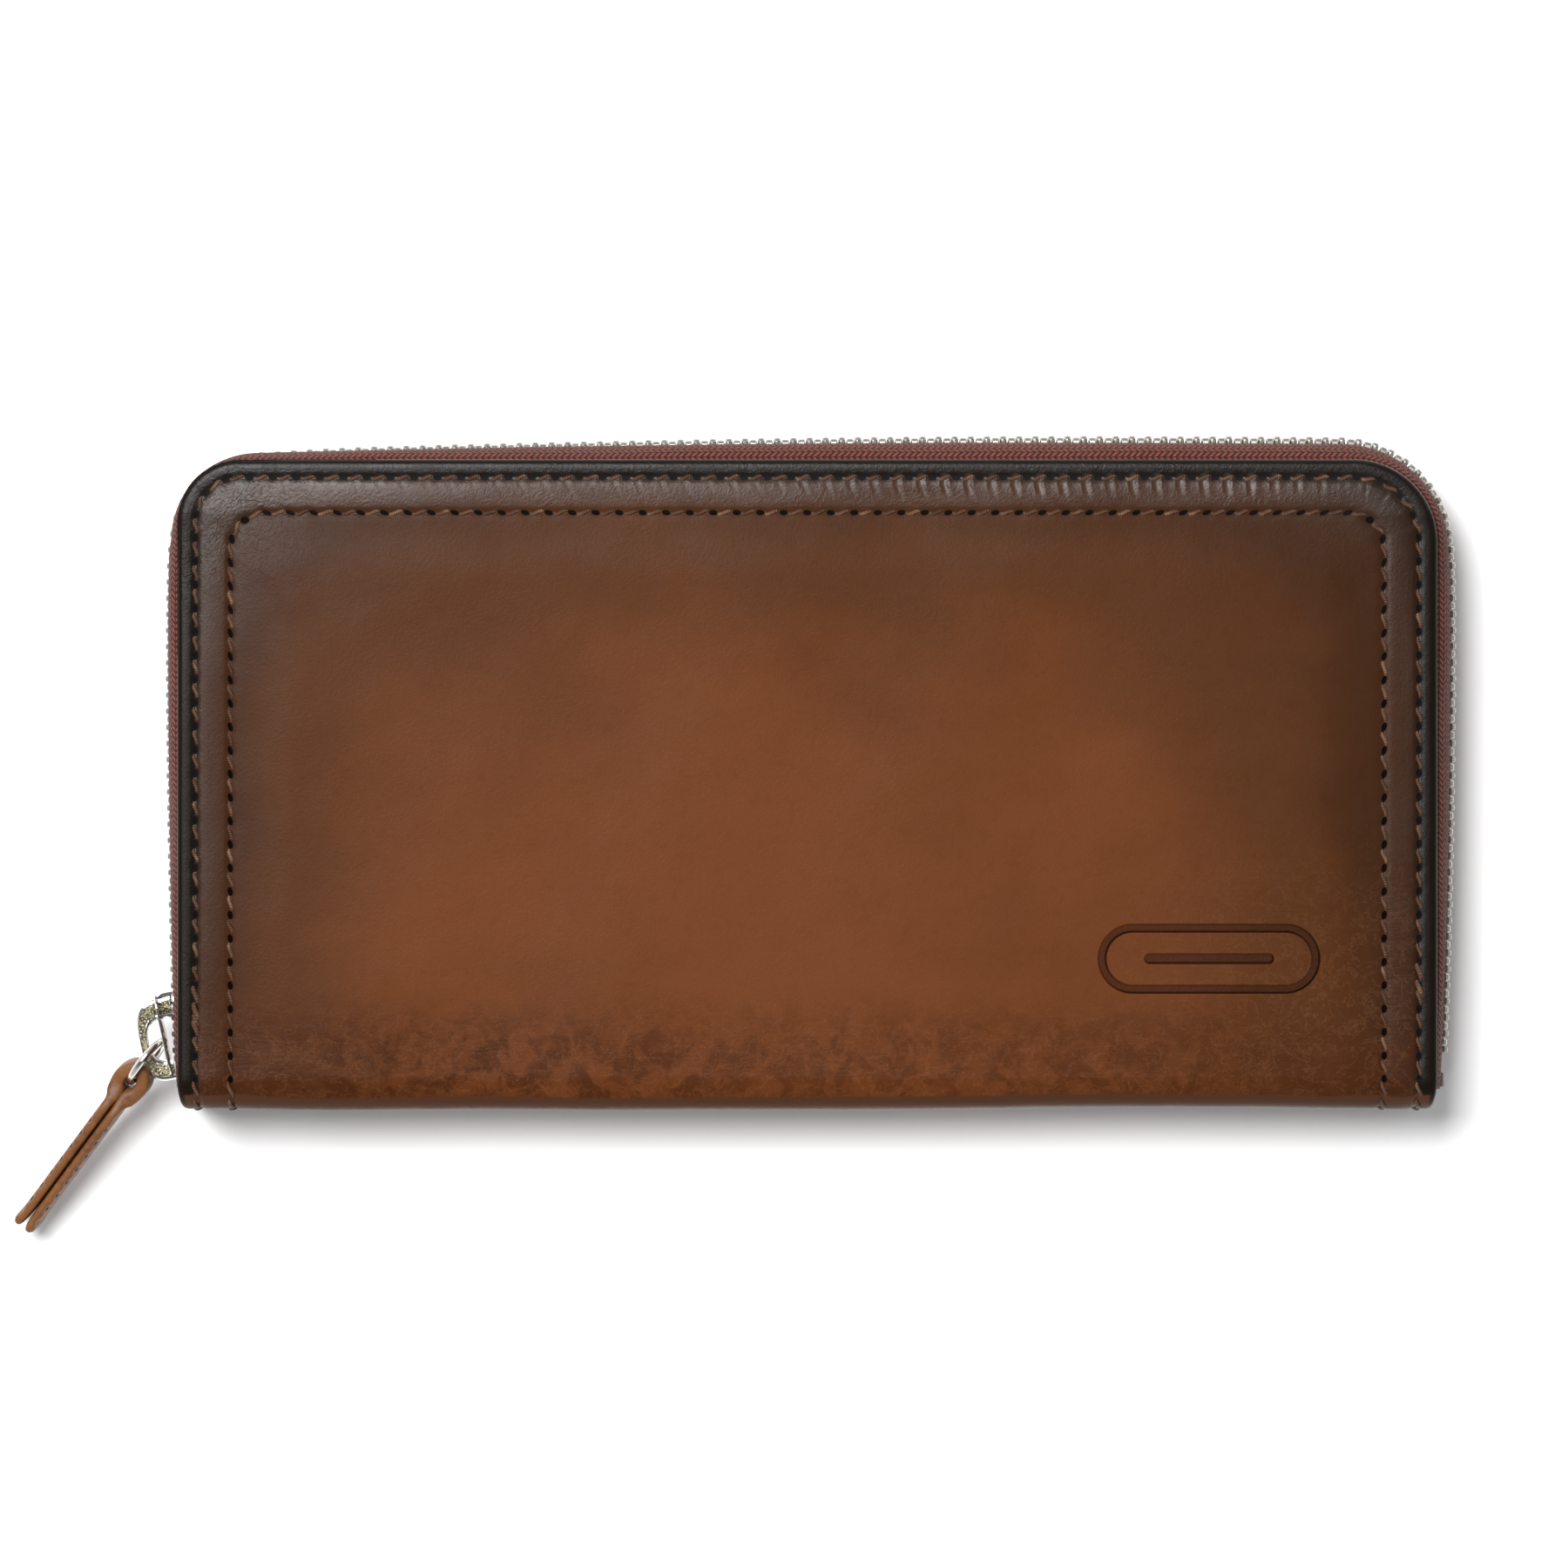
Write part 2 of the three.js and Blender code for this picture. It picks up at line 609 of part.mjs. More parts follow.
const coinSlider = new THREE.Group();
coinSlider.position.set(COIN_SLIDER.x, 0, MIDDLE);
coinSlider.add(named('coin_zip_slider', coinSliderGeometry(), metal()));
const coinPull = named('coin_zip_pull', coinPullGeometry(), metal());
coinPull.position.y = COIN_ZIP.high + COIN_SLIDER.clearance + COIN_SLIDER.plate + COIN_PULL.hinge;
coinSlider.add(coinPull);
wallet.add(coinSlider);

export default wallet;
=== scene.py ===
import math

import bmesh
import bpy
import numpy as np
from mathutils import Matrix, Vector


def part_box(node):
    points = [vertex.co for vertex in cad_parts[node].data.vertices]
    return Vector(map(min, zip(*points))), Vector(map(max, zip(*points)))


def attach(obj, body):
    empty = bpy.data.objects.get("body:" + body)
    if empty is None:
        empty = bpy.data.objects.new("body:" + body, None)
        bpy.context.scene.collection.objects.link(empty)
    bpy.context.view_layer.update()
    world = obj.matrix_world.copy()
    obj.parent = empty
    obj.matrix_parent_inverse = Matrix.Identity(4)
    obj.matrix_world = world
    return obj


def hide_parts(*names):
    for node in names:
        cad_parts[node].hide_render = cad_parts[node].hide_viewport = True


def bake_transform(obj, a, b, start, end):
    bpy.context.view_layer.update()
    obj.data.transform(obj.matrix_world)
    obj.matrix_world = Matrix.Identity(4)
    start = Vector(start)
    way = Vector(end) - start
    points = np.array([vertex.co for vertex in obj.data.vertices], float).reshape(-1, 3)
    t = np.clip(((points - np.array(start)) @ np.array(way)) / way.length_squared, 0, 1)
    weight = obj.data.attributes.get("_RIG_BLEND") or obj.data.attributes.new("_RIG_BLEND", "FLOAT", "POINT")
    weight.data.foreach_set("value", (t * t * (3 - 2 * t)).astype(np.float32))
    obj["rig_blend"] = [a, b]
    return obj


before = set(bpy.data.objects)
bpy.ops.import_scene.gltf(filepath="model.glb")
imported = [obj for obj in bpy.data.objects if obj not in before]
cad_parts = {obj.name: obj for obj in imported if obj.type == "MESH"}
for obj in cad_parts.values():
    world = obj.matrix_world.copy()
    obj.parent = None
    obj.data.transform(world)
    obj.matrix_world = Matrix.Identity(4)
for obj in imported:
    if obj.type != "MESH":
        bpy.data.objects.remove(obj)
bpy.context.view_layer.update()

# Geometry is worked out in the frame's axes in millimetres and stored in metres.
MM = 0.001


def box_mm(node):
    """A CAD node's lowest and highest corners in millimetres."""
    low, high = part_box(node)
    return np.array(low) / MM, np.array(high) / MM


# ---- Driving sizes, from the frame ----
COVER_LOW, COVER_HIGH = box_mm("front_cover_leather")
LEFT, RIGHT = COVER_LOW[0], COVER_HIGH[0]
SPINE, TOP = COVER_LOW[1], COVER_HIGH[1]
THICKNESS = COVER_HIGH[2]
MIDDLE = THICKNESS / 2
CORNER_LEFT = 9.5
CORNER_RIGHT = 12.5
FOLD_RADIUS = 5.0
FOLD_START = SPINE + FOLD_RADIUS
FOLD_MARGIN = 2.5

# Leather surface, millimetres.
SKIN = MIDDLE - 0.45
ROW_OUTER = 2.8
ROW_INNER = 8.05
STITCH_PITCH = 3.55
TIGHTEST_INNER_CORNER = 5.5
INSETS = (0.0, 0.12, 0.4, 0.85, 1.35, 1.85, 2.25, 2.55, 2.8, 3.05, 3.4, 3.9, 4.7, 5.5, 6.3, 7.0, 7.45,
          7.8, 8.05, 8.3, 8.65, 9.4, 10.7, 12.5)
TURNED_EDGE = ((7.0, -1.5), (1.4, -1.5), (0.3, -1.35), (0.0, -1.0))
BADGE_CENTRE = (60.5, -26.0)
BADGE_HALF, BADGE_RADIUS, BADGE_BAR = 11.5, 4.6, 9.0
RUN_STEPS = 110
ARC_STEPS = 24
TOP_STEPS = 220
FOLD_STEPS = 26

# Where the burnished blots and the fine veins of the cover fade in and out.
BLOTS_FROM, BLOTS_TO = -29.0, -41.0
FULL_BLOTS_X, FEW_BLOTS_X = -60.0, 10.0
VEINS_X = (30.0, 80.0)
VEINS_Y = (0.0, -30.0)
WRINKLES_NEAR, WRINKLES_FAR = 10.0, 34.0

# Cover colours from the warm middle (0) to the blackened rim (1).
COVER_SHADES = (
    (0.0, (0.107, 0.0318, 0.0094)),
    (0.29, (0.060, 0.020, 0.0062)),
    (0.50, (0.034, 0.0125, 0.0050)),
    (0.78, (0.016, 0.0075, 0.0040)),
    (1.0, (0.0064, 0.0040, 0.0027)),
)


# ---- Mesh helpers ----
def weld(vertices, faces, attributes):
    """Joins vertices that share a place and keeps the first one's attributes."""
    keys = np.round(vertices, 4)
    _, first, inverse = np.unique(keys, axis=0, return_index=True, return_inverse=True)
    inverse = inverse.ravel()
    joined = []
    for face in faces:
        loop = [int(inverse[i]) for i in face]
        loop = [v for n, v in enumerate(loop) if v != loop[n - 1]]
        if len(set(loop)) > 2:
            joined.append(loop)
    kept = {name: values[first] for name, values in attributes.items()}
    return vertices[first], joined, kept


def make_object(name, vertices, faces, material=None, attributes=None, smooth=True):
    """A mesh object from points in millimetres."""
    mesh = bpy.data.meshes.new(name)
    mesh.from_pydata((np.asarray(vertices) * MM).tolist(), [], [list(map(int, f)) for f in faces])
    rest = mesh.attributes.new("rest", "FLOAT_VECTOR", "POINT")
    rest.data.foreach_set("vector", (np.asarray(vertices, np.float32) * MM).ravel())
    for key, values in (attributes or {}).items():
        layer = mesh.attributes.new(key, "FLOAT", "POINT")
        layer.data.foreach_set("value", np.asarray(values, np.float32))
    if smooth:
        mesh.shade_smooth()
    mesh.update()
    thing = bpy.data.objects.new(name, mesh)
    bpy.context.scene.collection.objects.link(thing)
    if material:
        mesh.materials.append(material)
    return thing


def grid_faces(rows, columns, start=0, flip=False):
    """Quads of a rows by columns grid of vertices."""
    faces = []
    for r in range(rows - 1):
        for c in range(columns - 1):
            a = start + r * columns + c
            quad = [a, a + 1, a + columns + 1, a + columns]
            faces.append(quad[::-1] if flip else quad)
    return faces


def tube_faces(rings, sides, looped=False, flip=False):
    """Faces of a tube whose rings of vertices follow one another; an open tube is capped."""
    faces = []
    for r in range(rings if looped else rings - 1):
        for k in range(sides):
            a, b = r * sides + k, r * sides + (k + 1) % sides
            c = ((r + 1) % rings) * sides
            faces.append([a, b, c + (k + 1) % sides, c + k])
    if not looped:
        faces.append(list(range(sides))[::-1])
        faces.append([(rings - 1) * sides + k for k in range(sides)])
    return [face[::-1] for face in faces] if flip else faces


def smoothstep(low, high, value):
    t = np.clip((value - low) / (high - low), 0, 1)
    return t * t * (3 - 2 * t)


def fit(thing, body, slot, *nodes):
    """Rides a piece on a body and hides the CAD nodes it stands for; the slot argument is not used."""
    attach(thing, body)
    if nodes:
        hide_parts(*nodes)


class Parts:
    """Collects pieces of one mesh."""

    def __init__(self):
        self.vertices = []
        self.faces = []
        self.attributes = {}
        self.count = 0

    def add(self, vertices, faces, **attributes):
        vertices = np.asarray(vertices, float).reshape(-1, 3)
        self.vertices.append(vertices)
        self.faces.extend([[i + self.count for i in face] for face in faces])
        for key, values in attributes.items():
            filled = np.broadcast_to(np.asarray(values, float), (len(vertices),))
            self.attributes.setdefault(key, []).append(filled)
        self.count += len(vertices)

    def arrays(self):
        attributes = {k: np.concatenate(v) for k, v in self.attributes.items()}
        return np.concatenate(self.vertices), self.faces, attributes

    def make(self, name, material):
        vertices, faces, attributes = self.arrays()
        return make_object(name, vertices, faces, material, attributes)


# ---- Plan curves round the cover ----
def cover_ring(inset):
    """Points of the cover's outline moved inwards, from the spine up the left, over and down."""
    left_radius = max(CORNER_LEFT - inset, TIGHTEST_INNER_CORNER)
    right_radius = max(CORNER_RIGHT - inset, TIGHTEST_INNER_CORNER)
    x0, x1, y1 = LEFT + inset, RIGHT - inset, TOP - inset
    up = np.linspace(FOLD_START, y1 - left_radius, RUN_STEPS, endpoint=False)
    across = np.linspace(x0 + left_radius, x1 - right_radius, TOP_STEPS, endpoint=False)
    down = np.linspace(y1 - right_radius, FOLD_START, RUN_STEPS + 1)
    turn = np.linspace(0, math.pi / 2, ARC_STEPS, endpoint=False)
    left_arc = np.column_stack([x0 + left_radius - left_radius * np.cos(turn),
                                y1 - left_radius + left_radius * np.sin(turn)])
    right_arc = np.column_stack([x1 - right_radius + right_radius * np.sin(turn),
                                 y1 - right_radius + right_radius * np.cos(turn)])
    return np.vstack([np.column_stack([np.full(RUN_STEPS, x0), up]), left_arc,
                      np.column_stack([across, np.full(TOP_STEPS, y1)]), right_arc,
                      np.column_stack([np.full(RUN_STEPS + 1, x1), down])])


def arc_lengths(points):
    steps = np.linalg.norm(np.diff(points, axis=0), axis=1)
    return np.concatenate([[0.0], np.cumsum(steps)])


def centred_lengths(points):
    """Arc lengths scaled so that the stitch pattern is whole at the start of the fold."""
    lengths = arc_lengths(points)
    return lengths * (round(lengths[-1] / STITCH_PITCH) * STITCH_PITCH / lengths[-1])


OUTER_LENGTHS = centred_lengths(cover_ring(ROW_OUTER))
INNER_LENGTHS = centred_lengths(cover_ring(ROW_INNER))


# ---- Leather relief ----
def ridge(value, centre, half_width):
    return np.exp(-((value - centre) / half_width) ** 2)


def soft_noise(x, y, seed, scale, waves=7):
    """A smooth, repeatable wobble of about unit size."""
    source = np.random.default_rng(seed)
    total = np.zeros_like(x, dtype=float)
    for _ in range(waves):
        angle = source.uniform(0, 2 * math.pi)
        frequency = source.uniform(0.6, 1.6) / scale
        phase = source.uniform(0, 2 * math.pi)
        total += np.sin((x * math.cos(angle) + y * math.sin(angle)) * 2 * math.pi * frequency + phase)
    return total / math.sqrt(waves / 2)


def pull_marks(inset, x, y):
    """Where the outer row of stitches gathers the leather into short pleats."""
    along = 0.25 + 0.75 * smoothstep(-5, 25, x) * smoothstep(84, 66, x)
    near_top = smoothstep(TOP - 14, TOP - 9, y)
    inside_row = along * near_top * smoothstep(ROW_OUTER + 3.4, ROW_OUTER + 0.7, inset)
    return inside_row * smoothstep(1.6, 2.6, inset)


def relief(inset, outer_s, inner_s, x, y):
    """Height of the leather above its flat skin, in millimetres."""
    edge = np.clip(1 - inset / 0.85, 0, 1)
    height = -0.9 * (1 - np.sqrt(np.clip(1 - edge ** 2, 0, 1)))
    outer_wave = np.cos(2 * math.pi * outer_s / STITCH_PITCH)
    inner_wave = np.cos(2 * math.pi * inner_s / STITCH_PITCH)
    height -= (0.24 + 0.08 * outer_wave) * ridge(inset, ROW_OUTER, 0.45)
    height -= (0.20 + 0.08 * inner_wave) * ridge(inset, ROW_INNER, 0.45)
    band = np.clip((inset - ROW_OUTER) / (ROW_INNER - ROW_OUTER), 0, 1)
    height += 0.10 * np.sin(math.pi * band) ** 0.8
    height += 0.34 * smoothstep(ROW_INNER, ROW_INNER + 10, inset)
    height -= 0.15 * smoothstep(ROW_OUTER + 8, 44, inset)
    height -= 0.05 * pull_marks(inset, x, y) * outer_wave
    height -= 0.8 * np.exp(-((x - LEFT) ** 2 + (y - TOP) ** 2) / 21 ** 2)
    calm = smoothstep(1.5, 6, inset)
    height += 0.06 * soft_noise(x, y, 3, 34) * calm + 0.006 * soft_noise(x, y, 5, 9) * calm
    return height


def burnish(x, y, inset):
    """0 in the middle of the cover, 1 on its blackened rim."""
    left = np.exp(-np.clip(x - LEFT, 0, None) / 19)
    from_right = np.clip(RIGHT - x, 0, None)
    right = 0.58 * np.exp(-from_right / 26) + 0.22 * np.exp(-from_right / 5)
    top = np.exp(-np.clip(TOP - y, 0, None) / 20)
    shade = 1 - (1 - 0.66 * left) * (1 - right) * (1 - 0.57 * top)
    wobble = 0.022 * soft_noise(x, y, 11, 40) + 0.010 * soft_noise(x, y, 12, 14)
    shade = shade + wobble * (1 - shade)
    rim = smoothstep(ROW_OUTER + 1.1, ROW_OUTER - 0.6, inset)
    return np.clip(shade + rim * (1 - shade), 0, 1)


def coons(left, top, right):
    """Fills the inside of a U of boundary points down to the straight line at its foot."""
    rows, columns = len(left), len(top)
    bottom = np.linspace(left[0], right[0], columns)
    v = np.linspace(0, 1, rows)[:, None, None]
    u = np.linspace(0, 1, columns)[None, :, None]
    blend = (1 - u) * left[:, None, :] + u * right[:, None, :]
    blend = blend + (1 - v) * bottom[None] + v * top[None]
    corners = (1 - u) * (1 - v) * left[0] + u * (1 - v) * right[0]
    corners = corners + (1 - u) * v * left[-1] + u * v * right[-1]
    return blend - corners


def fold_profile(q):
    """Place and outward direction round the spine fold, 0 at the front and 1 at the back."""
    arc = FOLD_RADIUS * math.pi / 2
    wall = 2 * (MIDDLE - FOLD_RADIUS)
    along = q * (2 * arc + wall)
    radius = FOLD_RADIUS + SKIN - MIDDLE
    if along < arc:
        turn = along / FOLD_RADIUS
        return (FOLD_START - radius * math.sin(turn), MIDDLE - FOLD_RADIUS + radius * math.cos(turn),
                -math.sin(turn), math.cos(turn))
    if along <= arc + wall:
        return FOLD_START - radius, MIDDLE - FOLD_RADIUS - (along - arc), -1.0, 0.0
    turn = (along - arc - wall) / FOLD_RADIUS
    return (FOLD_START - radius * math.cos(turn), -(MIDDLE - FOLD_RADIUS) - radius * math.sin(turn),
            -math.cos(turn), -math.sin(turn))


FOLD_LENGTH = FOLD_RADIUS * math.pi + 2 * (MIDDLE - FOLD_RADIUS)


def spine_bow(x):
    """How far the spine is drawn in towards its right half, in millimetres."""
    return 0.5 * smoothstep(0, 60, x) * np.clip(1 - np.abs(x / 90) ** 6, 0, 1)


def drawn_in(y, x):
    """Moves points near the spine inwards by its bow, fading over the lower cover."""
    return y + spine_bow(x) * smoothstep(-12, SPINE + 1, y)


def rounded_depth(x, y):
    """How far points well inside the cover are from its edge, measured round the corners."""
    to_side = np.minimum(x - LEFT, RIGHT - x)
    to_top = TOP - y
    reach = INSETS[-1] + TIGHTEST_INNER_CORNER
    corner = reach - np.hypot(np.clip(reach - to_side, 0, None), np.clip(reach - to_top, 0, None))
    in_corner = (to_side < reach) & (to_top < reach)
    return np.where(in_corner, corner, np.minimum(to_side, to_top))


def cover_side(parts, side):
    """The front (side 1) or back (side -1) face of the leather, with its turned edge."""
    rings = [cover_ring(d) for d in INSETS]
    rows = []
    for inset, drop in TURNED_EDGE:
        ring = cover_ring(inset)
        rows.append((ring, np.full(len(ring), drop), np.zeros(len(ring))))
    for inset, ring in zip(INSETS, rings):
        depth = np.full(len(ring), inset)
        heights = relief(depth, OUTER_LENGTHS, INNER_LENGTHS, ring[:, 0], ring[:, 1])
        rows.append((ring, heights, depth))
    points, insets, shades = [], [], []
    for ring, heights, depth in rows:
        y = drawn_in(ring[:, 1], ring[:, 0])
        z = MIDDLE + side * (SKIN + heights)
        points.append(np.column_stack([ring[:, 0], y, z]))
        insets.append(depth)
        shades.append(burnish(ring[:, 0], ring[:, 1], depth))
    count = len(rings[0])
    faces = grid_faces(len(rows), count, flip=side < 0)
    placed = np.vstack(points)
    insets = np.concatenate(insets)
    parts.add(placed, faces, inset=insets, burnish=np.concatenate(shades),
              pull=pull_marks(insets, placed[:, 0], placed[:, 1]),
              outer_s=np.tile(OUTER_LENGTHS, len(rows)), inner_s=np.tile(INNER_LENGTHS, len(rows)))

    last = rings[-1]
    turn = RUN_STEPS + ARC_STEPS // 2
    left = last[:turn + 1]
    top = last[turn:len(last) - turn]
    right = last[len(last) - turn - 1:][::-1]
    patch = coons(left, top, right).reshape(-1, 2)
    depth = np.maximum(rounded_depth(patch[:, 0], patch[:, 1]), INSETS[-1])
    flat = np.zeros(len(patch))
    heights = relief(depth, flat, flat, patch[:, 0], patch[:, 1])
    border = {tuple(np.round(p, 4)): h for p, h in zip(last, rows[-1][1])}
    heights = np.array([border.get(tuple(np.round(p, 4)), h) for p, h in zip(patch, heights)])
    z = MIDDLE + side * (SKIN + heights)
    inner = np.column_stack([patch[:, 0], drawn_in(patch[:, 1], patch[:, 0]), z])
    parts.add(inner, grid_faces(len(left), len(top), flip=side > 0), inset=depth,
              burnish=burnish(patch[:, 0], patch[:, 1], depth), pull=flat, outer_s=flat, inner_s=flat)
    foot_columns = [(row[0][0, 0], row[1][0], row[2][0]) for row in rows]
    seam = zip(patch[:len(top), 0], heights[:len(top)], depth[:len(top)])
    foot_columns += list(seam)[1:-1]
    foot_columns += [(row[0][-1, 0], row[1][-1], row[2][-1]) for row in rows[::-1]]
    return foot_columns


def spine_fold(parts, foot):
    """The leather round the spine, carrying on every line of the cover."""
    x, heights, depth = (np.array(v, float) for v in zip(*foot))
    points, shades = [], []
    for step in range(FOLD_STEPS + 1):
        q = step / FOLD_STEPS
        y, h, out_y, out_h = fold_profile(q)
        rounding = 1 - abs(math.cos(math.pi * q)) ** 3
        drawn_x = x * (1 - 0.010 * rounding)
        bow = spine_bow(x)
        rise = heights * (1 - 0.7 * rounding * (depth > 1.0))
        points.append(np.column_stack([drawn_x, y + out_y * rise + bow, MIDDLE + h + out_h * rise]))
        shades.append(burnish(x, np.full(len(x), y), depth))
    count = len(x)
    travel = np.repeat(np.linspace(0, FOLD_LENGTH, FOLD_STEPS + 1), count)
    parts.add(np.vstack(points), grid_faces(FOLD_STEPS + 1, count), inset=np.tile(depth, FOLD_STEPS + 1),
              burnish=np.concatenate(shades), pull=0.0, outer_s=travel, inner_s=travel)


# ---- Node material helpers ----
class Shader:
    """A thin wrapper that adds nodes to one material."""

    def __init__(self, name):
        self.material = bpy.data.materials.new(name)
        self.material.use_nodes = True
        self.tree = self.material.node_tree
        self.tree.nodes.clear()
        self.output = self.tree.nodes.new("ShaderNodeOutputMaterial")
        self.principled = self.tree.nodes.new("ShaderNodeBsdfPrincipled")
        self.link(self.principled.outputs[0], self.output.inputs["Surface"])
        # The place each point has in the closed wallet, so patterns stay put when a fold moves.
        rest = self.tree.nodes.new("ShaderNodeAttribute")
        rest.attribute_name = "rest"
        self.coordinates = rest.outputs["Vector"]

    def link(self, source, target):
        self.tree.links.new(source, target)

    def feed(self, socket, value):
        if isinstance(value, bpy.types.NodeSocket):
            self.link(value, socket)
        else:
            socket.default_value = value

    def attribute(self, name):
        node = self.tree.nodes.new("ShaderNodeAttribute")
        node.attribute_name = name
        return node.outputs["Fac"]

    def math(self, operation, a, b=0.0, clamp=False):
        node = self.tree.nodes.new("ShaderNodeMath")
        node.operation = operation
        node.use_clamp = clamp
        self.feed(node.inputs[0], a)
        self.feed(node.inputs[1], b)
        return node.outputs[0]

    def plus(self, a, b, clamp=False):
        return self.math("ADD", a, b, clamp)

    def minus(self, a, b):
        return self.math("SUBTRACT", a, b)

    def times(self, a, b):
        return self.math("MULTIPLY", a, b)

    def over(self, a, b):
        return self.math("DIVIDE", a, b)

    def larger(self, a, b):
        return self.math("MAXIMUM", a, b)

    def magnitude(self, a):
        return self.math("ABSOLUTE", a)

    def fraction(self, a):
        return self.math("FRACT", a)

    def smooth(self, value, low, high, out_low=0.0, out_high=1.0):
        node = self.tree.nodes.new("ShaderNodeMapRange")
        node.interpolation_type = "SMOOTHSTEP"
        self.feed(node.inputs["Value"], value)
        node.inputs["From Min"].default_value = low
        node.inputs["From Max"].default_value = high
        node.inputs["To Min"].default_value = out_low
        node.inputs["To Max"].default_value = out_high
        return node.outputs["Result"]

    def squared_gap(self, value, centre):
        gap = self.minus(value, centre)
        return self.times(gap, gap)

    def separate(self):
        node = self.tree.nodes.new("ShaderNodeSeparateXYZ")
        self.link(self.coordinates, node.inputs[0])
        return node.outputs

    def noise(self, scale, detail=3.0, roughness=0.55, distortion=0.0, vector=None):
        node = self.tree.nodes.new("ShaderNodeTexNoise")
        node.inputs["Scale"].default_value = scale
        node.inputs["Detail"].default_value = detail
        node.inputs["Roughness"].default_value = roughness
        node.inputs["Distortion"].default_value = distortion
        self.link(vector or self.coordinates, node.inputs["Vector"])
        return node.outputs["Fac"]

    def cells(self, scale, feature="F1", vector=None):
        node = self.tree.nodes.new("ShaderNodeTexVoronoi")
        node.feature = feature
        node.inputs["Scale"].default_value = scale
        self.link(vector or self.coordinates, node.inputs["Vector"])
        return node.outputs["Distance"]

    def stretched(self, scale):
        node = self.tree.nodes.new("ShaderNodeMapping")
        node.inputs["Scale"].default_value = scale
        self.link(self.coordinates, node.inputs["Vector"])
        return node.outputs[0]

    def ramp(self, value, stops):
        node = self.tree.nodes.new("ShaderNodeValToRGB")
        ramp = node.color_ramp
        ramp.interpolation = "EASE"
        while len(ramp.elements) < len(stops):
            ramp.elements.new(0.5)
        for element, (place, colour) in zip(ramp.elements, stops):
            element.position = place
            element.color = (*colour, 1.0)
        self.feed(node.inputs["Fac"], value)
        return node.outputs["Color"]

    def mix(self, factor, a, b, mode="MIX"):
        node = self.tree.nodes.new("ShaderNodeMix")
        node.data_type = "RGBA"
        node.blend_type = mode
        self.feed(node.inputs["Factor"], factor)
        self.feed(node.inputs["A"], a)
        self.feed(node.inputs["B"], b)
        return node.outputs["Result"]

    def bump(self, height, distance, strength=1.0, normal=None):
        node = self.tree.nodes.new("ShaderNodeBump")
        node.inputs["Strength"].default_value = strength
        node.inputs["Distance"].default_value = distance
        self.feed(node.inputs["Height"], height)
        if normal is not None:
            self.link(normal, node.inputs["Normal"])
        return node.outputs["Normal"]

    def set(self, **values):
        for key, value in values.items():
            self.feed(self.principled.inputs[key.replace("_", " ")], value)
        return self


def needle_hole_shade(shader, row, lengths):
    """Mask of one stitch row's needle holes, where the colour is painted near black as painted shade."""
    turns = shader.over(shader.attribute(lengths), STITCH_PITCH)
    nearest = shader.minus(turns, shader.math("ROUND", turns))
    along = shader.over(shader.times(nearest, STITCH_PITCH), 0.64)
    across = shader.over(shader.minus(shader.attribute("inset"), row), 0.42)
    squared = shader.plus(shader.times(along, along), shader.times(across, across))
    return shader.smooth(squared, 0.75, 1.25, 1.0, 0.0)


def burnished_colour(shader, place, burnt):
    """Warm middle to black rim, with blots and veins; also returns where the veins lie."""
    mottle = shader.noise(60, 4, 0.6, 0.8)
    patch = shader.noise(15, 2, 0.5, 0.3)
    fine = shader.noise(620, 4, 0.62)
    shade = shader.plus(burnt, shader.times(shader.minus(mottle, 0.5), 0.10))
    shade = shader.plus(shade, shader.times(shader.minus(patch, 0.5), 0.07), True)
    colour = shader.ramp(shade, COVER_SHADES)
    not_rim = shader.smooth(burnt, 0.55, 0.85, 1.0, 0.0)
    low = shader.times(shader.smooth(place["Y"], BLOTS_FROM * MM, BLOTS_TO * MM), not_rim)
    low = shader.times(low, shader.smooth(place["Z"], MIDDLE * MM, THICKNESS * MM, 0.45, 1.0))
    blots = shader.smooth(shader.noise(210, 5, 0.65, 0.8), 0.40, 0.62, 0.30, 0.95)
    left_low = shader.smooth(place["X"], FEW_BLOTS_X * MM, FULL_BLOTS_X * MM, 0.72, 1.0)
    colour = shader.mix(shader.times(shader.times(low, blots), left_low), colour,
                        (0.042, 0.0120, 0.0034, 1))
    right_low = shader.times(shader.smooth(place["X"], VEINS_X[0] * MM, VEINS_X[1] * MM),
                             shader.smooth(place["Y"], VEINS_Y[0] * MM, VEINS_Y[1] * MM))
    vein_area = shader.times(shader.larger(right_low, low), not_rim)
    strands = shader.magnitude(shader.minus(shader.noise(300, 6, 0.7, 0.5), 0.5))
    veins = shader.times(shader.smooth(strands, 0.0, 0.020, 1.0, 0.0), vein_area)
    colour = shader.mix(shader.times(veins, 0.14), colour, (0.26, 0.11, 0.05, 1))
    speckle = shader.smooth(fine, 0.32, 0.70, 0.86, 1.12)
    colour = shader.mix(1.0, colour, shader.ramp(speckle, [(0.0, (0, 0, 0)), (1.0, (1, 1, 1))]),
                        "MULTIPLY")
    return colour, vein_area


def flesh_side(shader, place):
    """Mask of the bare leather inside the spine fold."""
    half_inside = shader.magnitude(shader.minus(place["Z"], MIDDLE * MM))
    flesh = shader.times(shader.smooth(half_inside, (MIDDLE - 1.3) * MM, (MIDDLE - 1.0) * MM, 1.0, 0.0),
                         shader.smooth(place["Y"], (SPINE + 0.8) * MM, (SPINE + 1.0) * MM))
    flesh = shader.times(flesh, shader.smooth(place["Y"], (SPINE + 11) * MM, (SPINE + 12) * MM, 1.0, 0.0))
    return shader.times(flesh, shader.smooth(shader.attribute("inset"), 0.6, 1.2))


